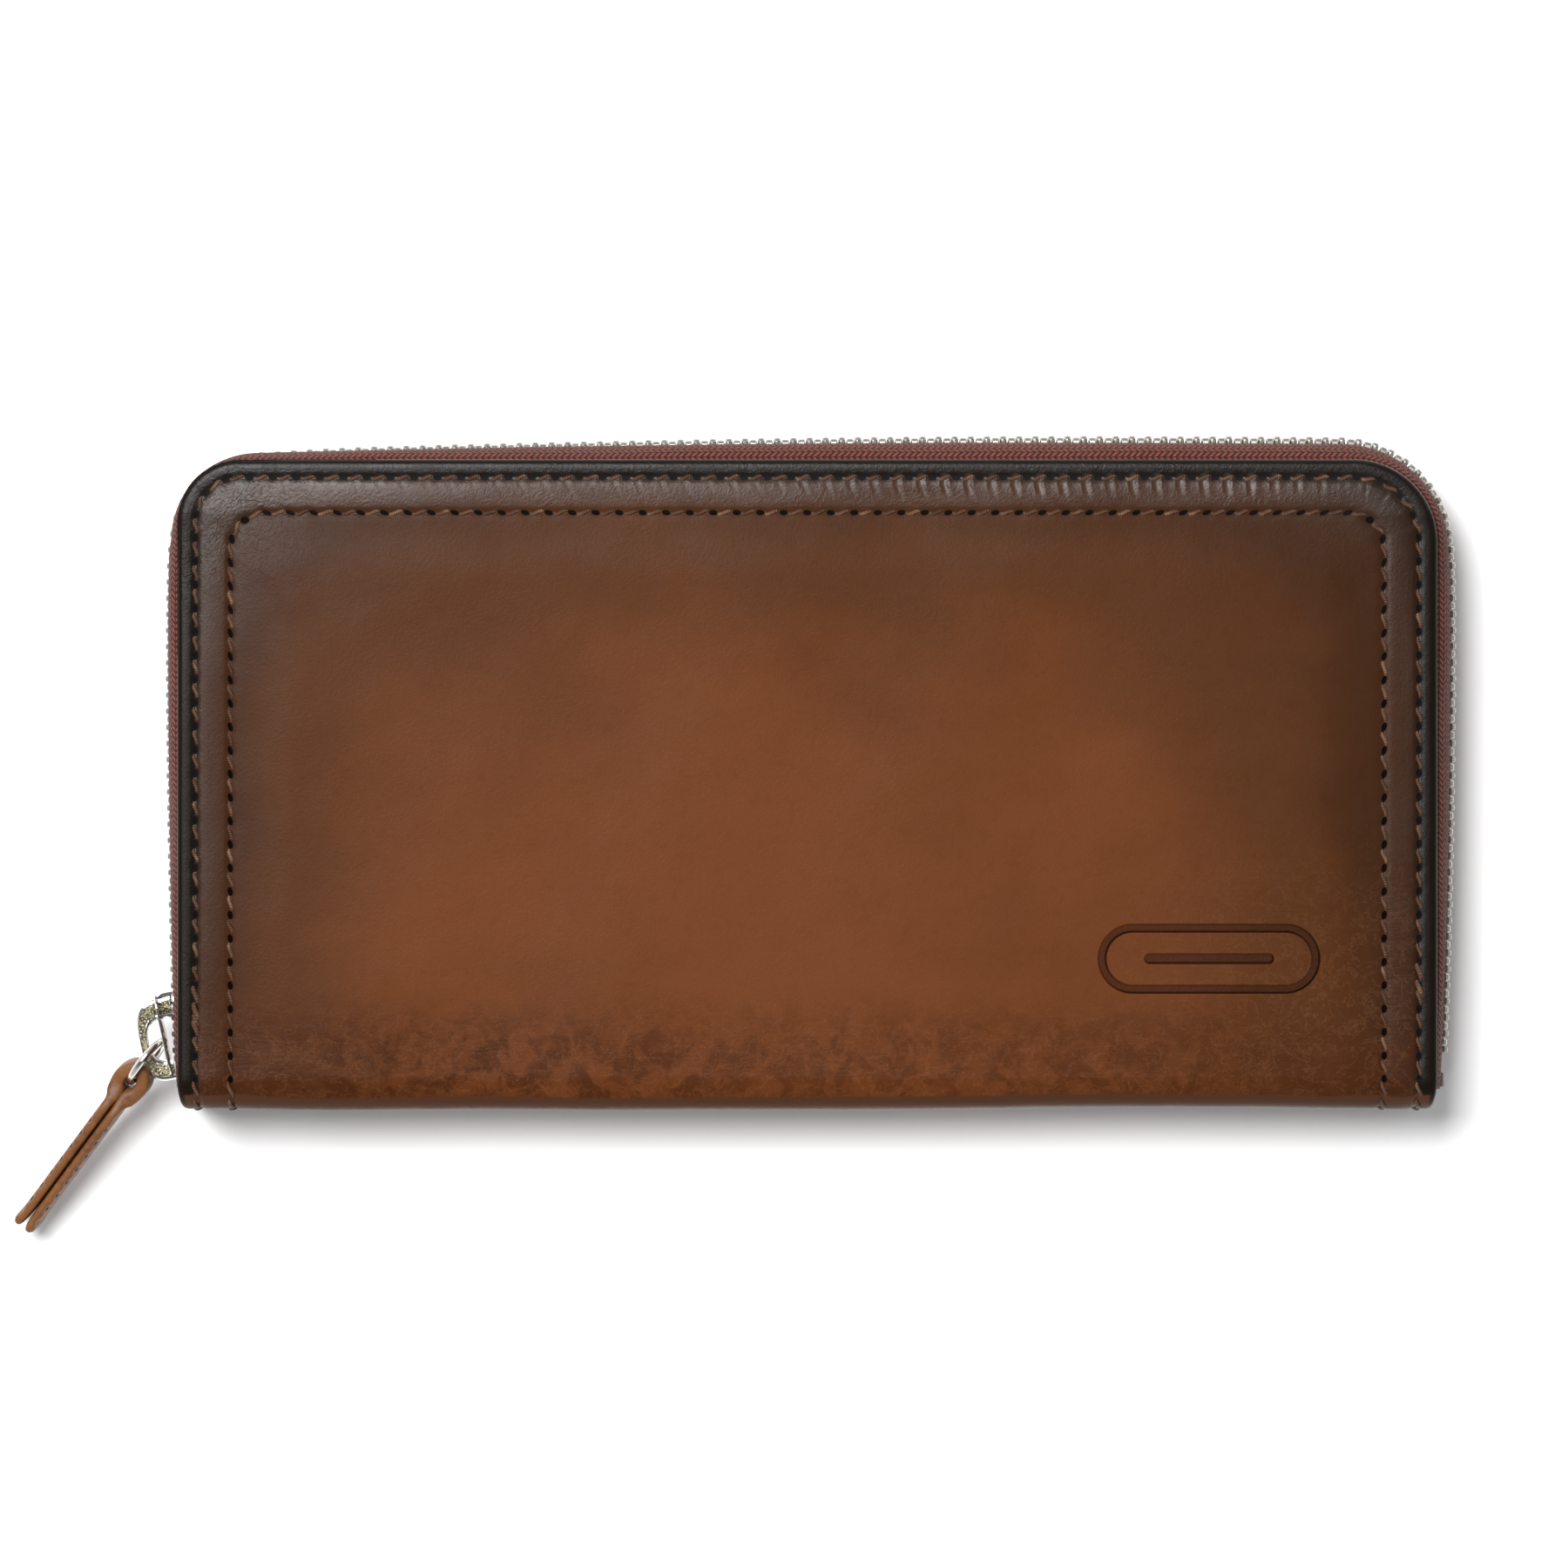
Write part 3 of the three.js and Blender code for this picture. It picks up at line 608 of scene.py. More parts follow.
def leather_grain(shader, place, vein_area):
    """Pores, wrinkles near the corner and along the top, and fine creases in the veined zones."""
    pores = shader.cells(1900)
    fibres = shader.noise(980, 5, 0.6, 2.2)
    skin = shader.plus(shader.times(pores, 0.35), shader.times(fibres, 0.9))
    normal = shader.bump(skin, 0.000030, 0.8)
    from_corner = shader.math("SQRT", shader.plus(shader.squared_gap(place["X"], LEFT * MM),
                                                  shader.squared_gap(place["Y"], TOP * MM)))
    near_corner = shader.smooth(from_corner, WRINKLES_NEAR * MM, WRINKLES_FAR * MM, 1.0, 0.0)
    band_low = TOP - ROW_INNER
    top_band = shader.smooth(place["Y"], (band_low - 0.6) * MM, (band_low + 0.8) * MM, 0.0, 0.45)
    wrinkled = shader.larger(near_corner, top_band)
    wrinkles = shader.times(shader.noise(620, 3, 0.5, 3.2), wrinkled)
    normal = shader.bump(wrinkles, 0.00009, 0.9, normal)
    creases = shader.noise(330, 4, 0.6, 0.7, shader.stretched((0.45, 2.4, 1.0)))
    creases = shader.times(creases, shader.times(vein_area, 0.8))
    return shader.bump(creases, 0.00010, 0.8, normal)


def stitch_pleats(shader):
    """Short pleats where the outer row gathers the leather; the same mask also lightens the colour there as
    a painted highlight.
    """
    turns = shader.fraction(shader.over(shader.attribute("outer_s"), STITCH_PITCH))
    pleat_and_highlight = shader.smooth(shader.magnitude(shader.minus(turns, 0.5)), 0.0, 0.24, 1.0, 0.0)
    pleat_and_highlight = shader.times(pleat_and_highlight, shader.attribute("pull"))
    return shader.times(pleat_and_highlight, shader.smooth(shader.noise(260, 3), 0.25, 0.7, 0.45, 1.2))


def cover_leather_material():
    """Sunburst-burnished leather, dark at the rim and warm in the middle."""
    shader = Shader("cover_leather")
    place = shader.separate()
    burnt = shader.attribute("burnish")
    colour, vein_area = burnished_colour(shader, place, burnt)
    holes = shader.larger(needle_hole_shade(shader, ROW_OUTER, "outer_s"),
                          needle_hole_shade(shader, ROW_INNER, "inner_s"))
    # Painted shade: the needle holes are painted near black in place of the shade inside them.
    colour = shader.mix(holes, colour, (0.0015, 0.0006, 0.0004, 1))
    colour = shader.mix(flesh_side(shader, place), colour, (0.060, 0.024, 0.011, 1))
    normal = leather_grain(shader, place, vein_area)
    pleat_and_highlight = stitch_pleats(shader)
    normal = shader.bump(pleat_and_highlight, 0.00018, 1.0, normal)
    # Painted highlight: the pleats are lightened towards grey in place of the light their ridges catch.
    colour = shader.mix(shader.times(pleat_and_highlight, 0.22), colour, (0.13, 0.10, 0.085, 1))
    pressed = debossed_badge(shader, place)
    normal = shader.bump(shader.minus(1.0, pressed), 0.0007, 1.0, normal)
    # Painted shade: the pressed lines are darkened in place of the shade that falls in the grooves.
    colour = shader.mix(shader.times(pressed, 0.66), colour, (0.018, 0.0045, 0.0016, 1))
    gloss = shader.smooth(shader.noise(130, 3), 0.3, 0.75, 0.29, 0.38)
    gloss = shader.plus(gloss, shader.times(holes, 0.5), True)
    # The burnished edges are polished harder than the middle.
    polish = shader.plus(shader.smooth(burnt, 0.42, 0.72, 0.035, 0.11),
                         shader.smooth(place["Y"], (TOP - 9) * MM, (TOP - 7) * MM, 0.0, 0.11))
    on_band = shader.smooth(shader.attribute("inset"), ROW_OUTER - 1.0, ROW_OUTER, 0.62, 1.0)
    polish = shader.times(polish, on_band)
    shader.set(Base_Color=colour, Roughness=gloss, Normal=normal, Specular_IOR_Level=polish)
    return shader.material


def debossed_badge(shader, place):
    """Mask of a plain pill outline with a bar inside it, pressed into the front cover; the cover colour is
    darkened inside it as painted shade.
    """
    along = shader.minus(place["X"], BADGE_CENTRE[0] * MM)
    up = shader.minus(place["Y"], BADGE_CENTRE[1] * MM)
    front = shader.smooth(place["Z"], MIDDLE * MM, (MIDDLE + 1) * MM)

    def pill(half_length):
        past = shader.larger(shader.minus(shader.magnitude(along), half_length * MM), 0.0)
        return shader.math("SQRT", shader.plus(shader.times(past, past), shader.times(up, up)))

    frame_line = shader.magnitude(shader.minus(pill(BADGE_HALF), BADGE_RADIUS * MM))
    pressed = shader.larger(shader.smooth(frame_line, 0.35 * MM, 0.75 * MM, 1.0, 0.0),
                            shader.smooth(pill(BADGE_BAR), 0.45 * MM, 0.90 * MM, 1.0, 0.0))
    return shader.times(pressed, front)


def thread_material():
    shader = Shader("waxed_thread")
    twist = shader.fraction(shader.times(shader.attribute("twist"), 3.0))
    strand = shader.smooth(shader.magnitude(shader.minus(twist, 0.5)), 0.0, 0.5)
    colour = shader.ramp(shader.noise(260, 2), [
        (0.30, (0.038, 0.017, 0.009)),
        (0.52, (0.074, 0.034, 0.018)),
        (0.72, (0.19, 0.100, 0.054)),
    ])
    colour = shader.mix(shader.times(strand, 0.5), colour, (0.06, 0.025, 0.013, 1))
    shader.set(Base_Color=colour, Roughness=0.48, Normal=shader.bump(strand, 0.00012, 0.8),
               Specular_IOR_Level=0.25)
    return shader.material


def fold_with_covers(thing):
    """Bends a piece round the spine as the front cover opens."""
    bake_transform(thing, "back", "front", start=(0, SPINE * MM, FOLD_MARGIN * MM),
             end=(0, SPINE * MM, (THICKNESS - FOLD_MARGIN) * MM))


# ---- Stitches ----
def thread_points(centre, along, normal, length, width, lift, slant):
    """One stitch: a thin arched capsule that dives into its two holes."""
    along = along / np.linalg.norm(along)
    normal = normal / np.linalg.norm(normal)
    across = np.cross(normal, along)
    tilt = math.radians(slant)
    forward = along * math.cos(tilt) + across * math.sin(tilt)
    sideways = np.cross(normal, forward)
    stations, sides = 9, 8
    points, twist = [], []
    for i in range(stations):
        t = -1 + 2 * i / (stations - 1)
        radius = width * (1 - 0.45 * abs(t) ** 3)
        if abs(t) == 1:
            radius *= 0.3
        middle = centre + forward * (t * length / 2) + normal * (lift * (1 - t * t) - 0.22)
        middle = middle + sideways * (0.10 * math.sin(math.pi * t))
        for k in range(sides):
            angle = 2 * math.pi * k / sides
            offset = sideways * math.cos(angle) + normal * (0.8 * math.sin(angle))
            points.append(middle + offset * radius)
            twist.append(t * 1.2 + k / sides)
    return np.array(points), tube_faces(stations, sides), np.array(twist)


def row_place(points, lengths, s):
    """Place and direction at a distance along a polyline."""
    i = int(np.clip(np.searchsorted(lengths, s) - 1, 0, len(points) - 2))
    t = (s - lengths[i]) / max(lengths[i + 1] - lengths[i], 1e-9)
    direction = points[i + 1] - points[i]
    return points[i] + direction * t, direction / np.linalg.norm(direction)


def row_line(inset, side):
    """A stitch row on one cover as points in space, on the leather's surface."""
    ring = cover_ring(inset)
    depth = np.full(len(ring), inset)
    no_pull = np.full(len(ring), STITCH_PITCH / 4)
    heights = relief(depth, no_pull, no_pull, ring[:, 0], ring[:, 1])
    y = drawn_in(ring[:, 1], ring[:, 0])
    return np.column_stack([ring[:, 0], y, MIDDLE + side * (SKIN + heights)])


def stitch_rows(parts):
    jitter = np.random.default_rng(21)

    def put(place, direction, normal, **sizes):
        slant = 14 + jitter.uniform(-5, 5)
        length = sizes.get("length", 2.75) * jitter.uniform(0.94, 1.04)
        points, faces, twist = thread_points(place, direction, normal, length, sizes.get("width", 0.30),
                                             sizes.get("lift", 0.42), slant)
        parts.add(points, faces, twist=twist)

    for side in (1, -1):
        normal = np.array([0.0, 0.0, side])
        for inset, lengths in ((ROW_OUTER, OUTER_LENGTHS), (ROW_INNER, INNER_LENGTHS)):
            line = row_line(inset, side)
            for k in range(round(lengths[-1] / STITCH_PITCH)):
                place, direction = row_place(line, lengths, (k + 0.5) * STITCH_PITCH)
                put(place, direction, normal)
    for inset in (ROW_OUTER, ROW_INNER):
        for x in (LEFT + inset, RIGHT - inset):
            for k in range(int(FOLD_LENGTH / STITCH_PITCH)):
                s = (k + 0.5) * STITCH_PITCH
                y, h, out_y, out_h = fold_profile(s / FOLD_LENGTH)
                depth = -0.12
                bow = float(spine_bow(np.array(x)))
                place = np.array([x, y + out_y * depth + bow, MIDDLE + h + out_h * depth])
                normal = np.array([0.0, out_y, out_h])
                put(place, np.array([0.0, -out_h, out_y]), normal)
    # Doubled thread where each outer row was finished off.
    for side in (1, -1):
        line = row_line(ROW_OUTER, side)
        last_stitch = OUTER_LENGTHS[-1] / STITCH_PITCH
        for k in (2.2, 2.9, 3.6, last_stitch - 3.9, last_stitch - 4.6):
            place, direction = row_place(line, OUTER_LENGTHS, k * STITCH_PITCH)
            put(place, direction, np.array([0.0, 0.0, side]), length=3.3, width=0.40, lift=0.55)


def build_cover_leather(material):
    parts = Parts()
    foot = cover_side(parts, 1)
    cover_side(parts, -1)
    spine_fold(parts, foot)
    vertices, faces, attributes = weld(*parts.arrays())
    leather = make_object("cover_leather_sheet", vertices, faces, material, attributes)
    fold_with_covers(leather)
    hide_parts("front_cover_leather", "back_cover_leather", "front_stiffener_board",
                "back_stiffener_board")


def build_stitching(material):
    parts = Parts()
    stitch_rows(parts)
    stitching = parts.make("cover_stitching", material)
    fold_with_covers(stitching)


# ---- Main zip ----
ZIP_START = np.array([LEFT + 0.1, SPINE + 3.0])
ZIP_TOP_LEFT = np.array([LEFT - 1.3, TOP + 0.9])
ZIP_TOP_RIGHT = np.array([RIGHT + 2.2, TOP + 2.5])
ZIP_END = np.array([RIGHT + 0.4, SPINE + 2.0])
ZIP_ROUND_LEFT = 13.0
ZIP_ROUND_RIGHT = 16.0
ZIP_BULGE = ((0.85, 0.4), (0.75, 1.0), (0.75, 0.5))
TOOTH_PITCH = 2.45
TOOTH_DEPTH = 1.15
TAPE_SHEET = 0.45
LEFT_RUN_END = TOP - SPINE - 14
LEFT_RUN_DEPTH = 0.5
CORNER_DEPTH = 0.55


def rounded_corner(before, corner, after, radius, steps=28):
    """Points of an arc that rounds a corner between two straight runs."""
    incoming = (corner - before) / np.linalg.norm(corner - before)
    outgoing = (after - corner) / np.linalg.norm(after - corner)
    turn = math.acos(np.clip(incoming @ outgoing, -1, 1))
    reach = radius * math.tan(turn / 2)
    start = corner - incoming * reach
    inward = np.array([incoming[1], -incoming[0]])
    centre = start + inward * radius
    angles = np.linspace(0, turn, steps)
    spoke = start - centre
    cos, sin = np.cos(angles), np.sin(-angles)
    return centre + np.column_stack([spoke[0] * cos - spoke[1] * sin, spoke[0] * sin + spoke[1] * cos])


def zip_line(step=0.5):
    """The middle of the chain in plan: evenly spaced points and outward directions."""
    left_arc = rounded_corner(ZIP_START, ZIP_TOP_LEFT, ZIP_TOP_RIGHT, ZIP_ROUND_LEFT)
    right_arc = rounded_corner(ZIP_TOP_LEFT, ZIP_TOP_RIGHT, ZIP_END, ZIP_ROUND_RIGHT)
    runs = [(ZIP_START, left_arc[0]), (left_arc[-1], right_arc[0]), (right_arc[-1], ZIP_END)]
    pieces = []
    for (a, b), (bulge, fullness) in zip(runs, ZIP_BULGE):
        t = np.linspace(0, 1, 120)
        direction = (b - a) / np.linalg.norm(b - a)
        outward = np.array([-direction[1], direction[0]])
        swell = bulge * np.clip(np.sin(math.pi * t), 0, 1) ** fullness
        pieces.append(a + np.outer(t, b - a) + np.outer(swell, outward))
    points = np.vstack([pieces[0], left_arc[1:-1], pieces[1], right_arc[1:-1], pieces[2]])
    lengths = arc_lengths(points)
    even = np.arange(0, lengths[-1], step)
    line = np.column_stack([np.interp(even, lengths, points[:, k]) for k in range(2)])
    slope = np.gradient(line, axis=0)
    slope /= np.linalg.norm(slope, axis=1)[:, None]
    outward = np.column_stack([-slope[:, 1], slope[:, 0]])
    return even, line, slope, outward


ZIP_S, ZIP_POINTS, ZIP_SLOPES, ZIP_OUTWARDS = zip_line()


def on_zip(s):
    """Place, direction and outward normal at a distance along the chain."""
    place = np.array([np.interp(s, ZIP_S, ZIP_POINTS[:, k]) for k in range(2)])
    slope = np.array([np.interp(s, ZIP_S, ZIP_SLOPES[:, k]) for k in range(2)])
    slope /= np.linalg.norm(slope)
    return place, slope, np.array([-slope[1], slope[0]])


TOOTH_OUTLINE = ((0.0, -0.62), (0.34, -0.52), (0.50, -0.15), (0.56, 0.35), (0.46, 0.95), (0.50, 1.5),
                 (0.60, 2.2), (0.58, 2.75), (0.40, 2.95))
TOOTH_LAYERS = ((-1.0, 0.62), (-0.86, 0.90), (-0.55, 1.0), (0.55, 1.0), (0.86, 0.90), (1.0, 0.62))


def tooth(parts, origin, along, outward, up, scale=1.0):
    """One zip tooth: a nosed head that meets the other row and legs clamped on the tape."""
    outline = [(t, h) for t, h in TOOTH_OUTLINE] + [(-t, h) for t, h in TOOTH_OUTLINE[:0:-1]]
    outline = np.array(outline)
    middle = np.array([0.0, 1.2])
    points = []
    for depth, shrink in TOOTH_LAYERS:
        section = middle + (outline - middle) * shrink
        for t, h in section:
            points.append(origin + (along * t + up * h + outward * depth * TOOTH_DEPTH) * scale)
    parts.add(points, tube_faces(len(TOOTH_LAYERS), len(outline)))


def build_teeth(side, body, material):
    """One row of teeth; the two rows are set half a pitch apart."""
    parts = Parts()
    first, last = 5.0, ZIP_S[-1] - 4.0
    count = int((last - first) / TOOTH_PITCH)
    up = np.array([0.0, 0.0, side])
    for k in range(count):
        s = first + (k + (0.5 if side < 0 else 0.0)) * TOOTH_PITCH
        place, slope, outward = on_zip(s)
        lean = 0.30 if side < 0 else -0.05
        lean -= LEFT_RUN_DEPTH * float(smoothstep(LEFT_RUN_END + 170, LEFT_RUN_END, np.array(s)))
        lean -= CORNER_DEPTH * math.exp(-((s - (TOP - SPINE)) / 13) ** 2)
        origin = np.array([*(place + outward * lean), MIDDLE])
        tooth(parts, origin, np.array([*slope, 0.0]), np.array([*outward, 0.0]), up)
    row = parts.make(body + "_zip_teeth_row", material)
    row.data.polygons.foreach_set("use_smooth", [False] * len(row.data.polygons))
    fit(row, body, "zip_metal", body + "_zip_teeth")


# Section of the tape from its hidden flange to the corded edge, as (share of overhang, extra, height).
TAPE_SECTION = ((0, -6.5, 9.45), (0, -3.0, 9.45), (0, -0.9, 9.4), (0.10, -0.45, 9.3), (0.30, -0.25, 8.9),
                (0.52, -0.12, 8.3), (0.74, -0.06, 7.2), (0.90, -0.02, 6.0), (0.98, 0.0, 4.8),
                (1.0, 0.0, 3.6), (1.0, 0.0, 2.4), (1.0, 0.0, 1.2), (1.0, 0.0, 0.75))
# Where the corded edge starts in the tape's loop of points.
CORD_START = 8


def cover_edge_distance(place, outward):
    """How far the chain stands outside the cover's edge at one place."""
    ring = cover_ring(0.0)
    gap = ring - place
    along_normal = gap @ outward
    sideways = np.abs(gap @ np.array([-outward[1], outward[0]]))
    nearest = np.argmin(sideways + 0.2 * np.abs(along_normal))
    return -along_normal[nearest]


def build_tape(side, body, material):
    """The woven tape on one side of the zip, closed on both faces."""
    stations = np.arange(1.0, ZIP_S[-1] - 0.8, 0.8)
    rows, across_values, along_values = [], [], []
    heights = np.array([h for _, _, h in TAPE_SECTION])
    shares = np.array([share for share, _, _ in TAPE_SECTION])
    extras = np.array([extra for _, extra, _ in TAPE_SECTION])
    for s in stations:
        place, _, outward = on_zip(s)
        overhang = cover_edge_distance(place, outward)
        swell = 0.10 * math.sin(s / 9.0) + 0.06 * math.sin(s / 3.7)
        offsets = -overhang + shares * overhang + extras + swell * np.sin(math.pi * np.clip(shares, 0, 1))
        section = np.column_stack([offsets, heights])
        tangents = np.gradient(section, axis=0)
        tangents /= np.linalg.norm(tangents, axis=1)[:, None]
        normals = np.column_stack([-tangents[:, 1], tangents[:, 0]])
        outer = section + normals * TAPE_SHEET / 2
        inner = section - normals * TAPE_SHEET / 2
        cord = section[-1] + 0.42 * np.array([[0.75, -0.1], [0.9, -0.75], [0, -1.1], [-0.9, -0.75],
                                              [-0.75, -0.1]])
        loop = np.vstack([outer, cord, inner[::-1]])
        across = np.concatenate([[0], np.cumsum(np.linalg.norm(np.diff(loop, axis=0), axis=1))])
        plan = place + np.outer(loop[:, 0], outward)
        rows.append(np.column_stack([plan, MIDDLE + side * loop[:, 1]]))
        across_values.append(across)
        along_values.append(np.full(len(loop), s))
    faces = tube_faces(len(rows), len(rows[0]), flip=side < 0)
    cord_mask = np.zeros(len(rows[0]))
    cord_mask[CORD_START:len(TAPE_SECTION) + 6] = 1
    tape = make_object(body + "_zip_tape_cloth", np.vstack(rows), faces, material,
                       {"across": np.concatenate(across_values), "along": np.concatenate(along_values),
                        "cord": np.tile(cord_mask, len(rows))})
    fit(tape, body, "zip_tape", body + "_zip_tape")


def tape_material(name, light, dark, cord):
    """Woven twill tape: slanting strands in bands that turn back on each other."""
    shader = Shader(name)
    along = shader.over(shader.attribute("along"), 0.92)
    band = shader.math("PINGPONG", shader.attribute("across"), 1.0)
    turns = shader.plus(along, shader.times(band, 0.9))
    turns = shader.plus(turns, shader.times(shader.noise(700, 2), 0.35))
    off_middle = shader.magnitude(shader.minus(shader.fraction(turns), 0.5))
    strand = shader.minus(1.0, shader.times(off_middle, 2.0))
    valley = shader.times(shader.minus(1.0, band), band)
    weave = shader.times(shader.smooth(strand, 0.1, 0.75), shader.smooth(valley, 0.0, 0.14))
    colour = shader.ramp(weave, [(0.0, dark),
                                 (0.45, tuple(0.55 * d + 0.45 * l for d, l in zip(dark, light))),
                                 (1.0, light)])
    fleck = shader.smooth(shader.noise(900, 3), 0.35, 0.7, 0.75, 1.15)
    colour = shader.mix(shader.times(shader.attribute("cord"), 0.8), colour, (*cord, 1))
    colour = shader.mix(1.0, colour, shader.ramp(fleck, [(0.0, (0, 0, 0)), (1.0, (1, 1, 1))]), "MULTIPLY")
    shader.set(Base_Color=colour, Roughness=0.72, Normal=shader.bump(weave, 0.00022, 0.9),
               Sheen_Weight=0.03, Specular_IOR_Level=0.15)
    return shader.material


def metal_material(name, tint, roughness, pits=0.0):
    shader = Shader(name)
    haze = shader.smooth(shader.noise(500, 3), 0.3, 0.8, roughness, roughness + 0.12)
    colour = shader.ramp(shader.noise(240, 3), [(0.25, tuple(0.86 * t for t in tint)), (0.7, tint)])
    shader.set(Base_Color=colour, Roughness=haze, Metallic=1.0)
    if pits:
        dimples = shader.smooth(shader.cells(2300), 0.15, 0.65)
        shader.set(Normal=shader.bump(dimples, pits, 1.0))
    return shader.material


# ---- Slider, ring and pull strap ----
SLIDER_TILT = math.radians(11.5)
SLIDER_PLATE = (LEFT - 2.75, SPINE + 11.6)
PLATE_LENGTH, PLATE_WIDTH, PLATE_SHEET = 12.6, 8.0, 0.45
PLATE_GAP = 3.0
CROWN_REACH, CROWN_HALF, CROWN_DROP = 3.85, 6.25, 0.85
HOLE_REACH, HOLE_HALF, HOLE_DROP = 2.45, 3.2, 0.90
CROWN_SECTION = ((0.0, -0.7), (0.0, 0.6), (0.07, 0.92), (0.16, 1.0), (0.21, 0.84), (0.24, 0.84),
                 (0.74, 0.84), (0.77, 0.84), (0.82, 1.0), (0.92, 0.92), (1.0, 0.55), (1.0, -0.7),
                 (0.93, -0.95), (0.5, -0.95), (0.07, -0.95))
RING_RADIUS, RING_WIRE = 4.0, 0.55
RING_LEAN = math.radians(7)
RING_CENTRE = np.array([-100.29, -41.77, 12.05])
# The strap hangs from the ring's outer end: its pivot, and unit vectors along, across and up.
STRAP_PIVOT = np.array([-102.643, -44.869, 11.12])
STRAP_ALONG = np.array([-0.587684, -0.774681, -0.233445])
STRAP_ACROSS = np.array([0.796694, -0.604383, 0.0])
STRAP_UP = np.array([-0.14109, -0.185984, 0.97237])
STRAP_LENGTH, STRAP_WIDTH, STRAP_NECK = 28.3, 8.0, 5.0
STRAP_SHEET = 1.6
STRAP_STITCH = 2.6


def superellipse(angle, reach, half, power):
    c, s = math.cos(angle), math.sin(angle)
    return reach * abs(c) ** (2 / power), half * math.copysign(abs(s) ** (2 / power), s)


def slider_axes():
    along = np.array([-math.sin(SLIDER_TILT), math.cos(SLIDER_TILT), 0.0])
    outward = np.array([-math.cos(SLIDER_TILT), -math.sin(SLIDER_TILT), 0.0])
    return np.array([*SLIDER_PLATE, MIDDLE]), outward, along, np.array([0.0, 0.0, 1.0])


def rounded_slab(parts, centre, thin, long, wide, sizes, taper=1.0, **attributes):
    """A plate with softened edges, given its centre, its axes and its size along each."""
    sheet, length, width = sizes
    outline = []
    for quadrant, (sx, sy) in enumerate(((1, 1), (-1, 1), (-1, -1), (1, -1))):
        for step in range(6):
            angle = math.pi / 2 * (quadrant + step / 5)
            radius = min(width * 0.32, 2.4)
            outline.append((sx * (length / 2 - radius) + radius * math.cos(angle),
                            sy * (width / 2 - radius) + radius * math.sin(angle)))
    outline = np.array(outline)
    outline[:, 1] *= np.interp(outline[:, 0], [-length / 2, length / 2], [taper, 1.0])
    layers = ((-0.5, 0.93), (-0.38, 0.985), (-0.15, 1.0), (0.15, 1.0), (0.38, 0.985), (0.5, 0.93))
    points = []
    for depth, scale in layers:
        for a, b in outline:
            edge = 1 - (1 - scale) * length / 4
            points.append(centre + thin * depth * sheet + long * a * max(edge, 0.9) + wide * b * scale)
    parts.add(points, tube_faces(len(layers), len(outline)), **attributes)


def build_slider(material):
    origin, outward, along, up = slider_axes()
    parts = Parts()
    plate = (PLATE_SHEET, PLATE_LENGTH, PLATE_WIDTH)
    rounded_slab(parts, origin, outward, along, up, plate, 0.72, face=0.0)
    rounded_slab(parts, origin - outward * (PLATE_GAP + PLATE_SHEET), outward, along, up, plate, 0.72,
                 face=0.0)
    for side in (-1, 1):
        rim = origin - outward * (PLATE_GAP + PLATE_SHEET / 2 - 0.3) + up * side * (PLATE_WIDTH / 2 - 0.55)
        rounded_slab(parts, rim, up, along, outward, (0.7, PLATE_LENGTH * 0.9, 1.0), face=0.0)
    wedge = origin - outward * (PLATE_GAP + PLATE_SHEET) / 2 + along * PLATE_LENGTH * 0.42
    rounded_slab(parts, wedge, up, along, outward, (0.9, 1.6, PLATE_GAP + PLATE_SHEET), face=0.0)

    # The crown sweeps from the foot of the plate round to its head; a slot parts it from the plate there.
    curve = []
    for angle in np.radians(np.linspace(-90, 82, 58)):
        hole_u, hole_v = superellipse(angle, HOLE_REACH, HOLE_HALF, 2.3)
        rim_u, rim_v = superellipse(angle, CROWN_REACH, CROWN_HALF, 3.0)
        curve.append(((hole_u, hole_v - HOLE_DROP), (rim_u, rim_v - CROWN_DROP), 1.0))
    foot_hole, foot_rim = curve[0][0], curve[0][1]
    curve.insert(0, ((-0.6, foot_hole[1]), (-0.6, foot_rim[1]), 1.0))
    head_hole, head_rim = HOLE_HALF - HOLE_DROP, CROWN_HALF - CROWN_DROP
    for u, rise in ((0.70, 1.0), (0.66, 0.35), (0.32, 0.35), (0.28, 1.0), (-0.6, 1.0), (-2.0, 1.0)):
        curve.append(((u, head_hole), (u, head_rim + 0.12 * max(-u, 0)), rise))
    points, mask = [], []
    for inner, outer, rise in curve:
        for share, height in CROWN_SECTION:
            u = inner[0] + (outer[0] - inner[0]) * share
            v = inner[1] + (outer[1] - inner[1]) * share
            lift = height * rise if height > 0 else height
            points.append(origin + outward * u + along * v + up * lift)
            mask.append(1.0 if 0.22 < share < 0.76 and height > 0 else 0.0)
    parts.add(points, tube_faces(len(curve), len(CROWN_SECTION)), face=mask)
    slider = parts.make("slider_casting", material)
    finish_metal(slider, 35)
    fit(slider, "slider", "hardware", "zip_slider")


def finish_metal(thing, angle):
    """Recomputes outward normals and keeps crisp edges crisp."""
    mesh = thing.data
    sheet = bmesh.new()
    sheet.from_mesh(mesh)
    bmesh.ops.recalc_face_normals(sheet, faces=sheet.faces)
    for edge in sheet.edges:
        edge.smooth = edge.calc_face_angle(0.0) < math.radians(angle)
    sheet.to_mesh(mesh)
    sheet.free()


def slider_material():
    """Cast nickel: pebbled faces between polished rims."""
    shader = Shader("cast_nickel")
    face = shader.attribute("face")
    pebble = shader.smooth(shader.cells(1500), 0.1, 0.6)
    fine = shader.noise(2600, 3)
    height = shader.times(shader.plus(pebble, fine), face)
    colour = shader.mix(face, (0.80, 0.79, 0.76, 1),
                        shader.ramp(pebble, [(0.0, (0.46, 0.43, 0.31)), (1.0, (0.19, 0.17, 0.11))]))
    shader.set(Base_Color=colour, Roughness=shader.smooth(face, 0, 1, 0.08, 0.34),
               Normal=shader.bump(height, 0.00030, 1.0), Metallic=1.0)
    return shader.material


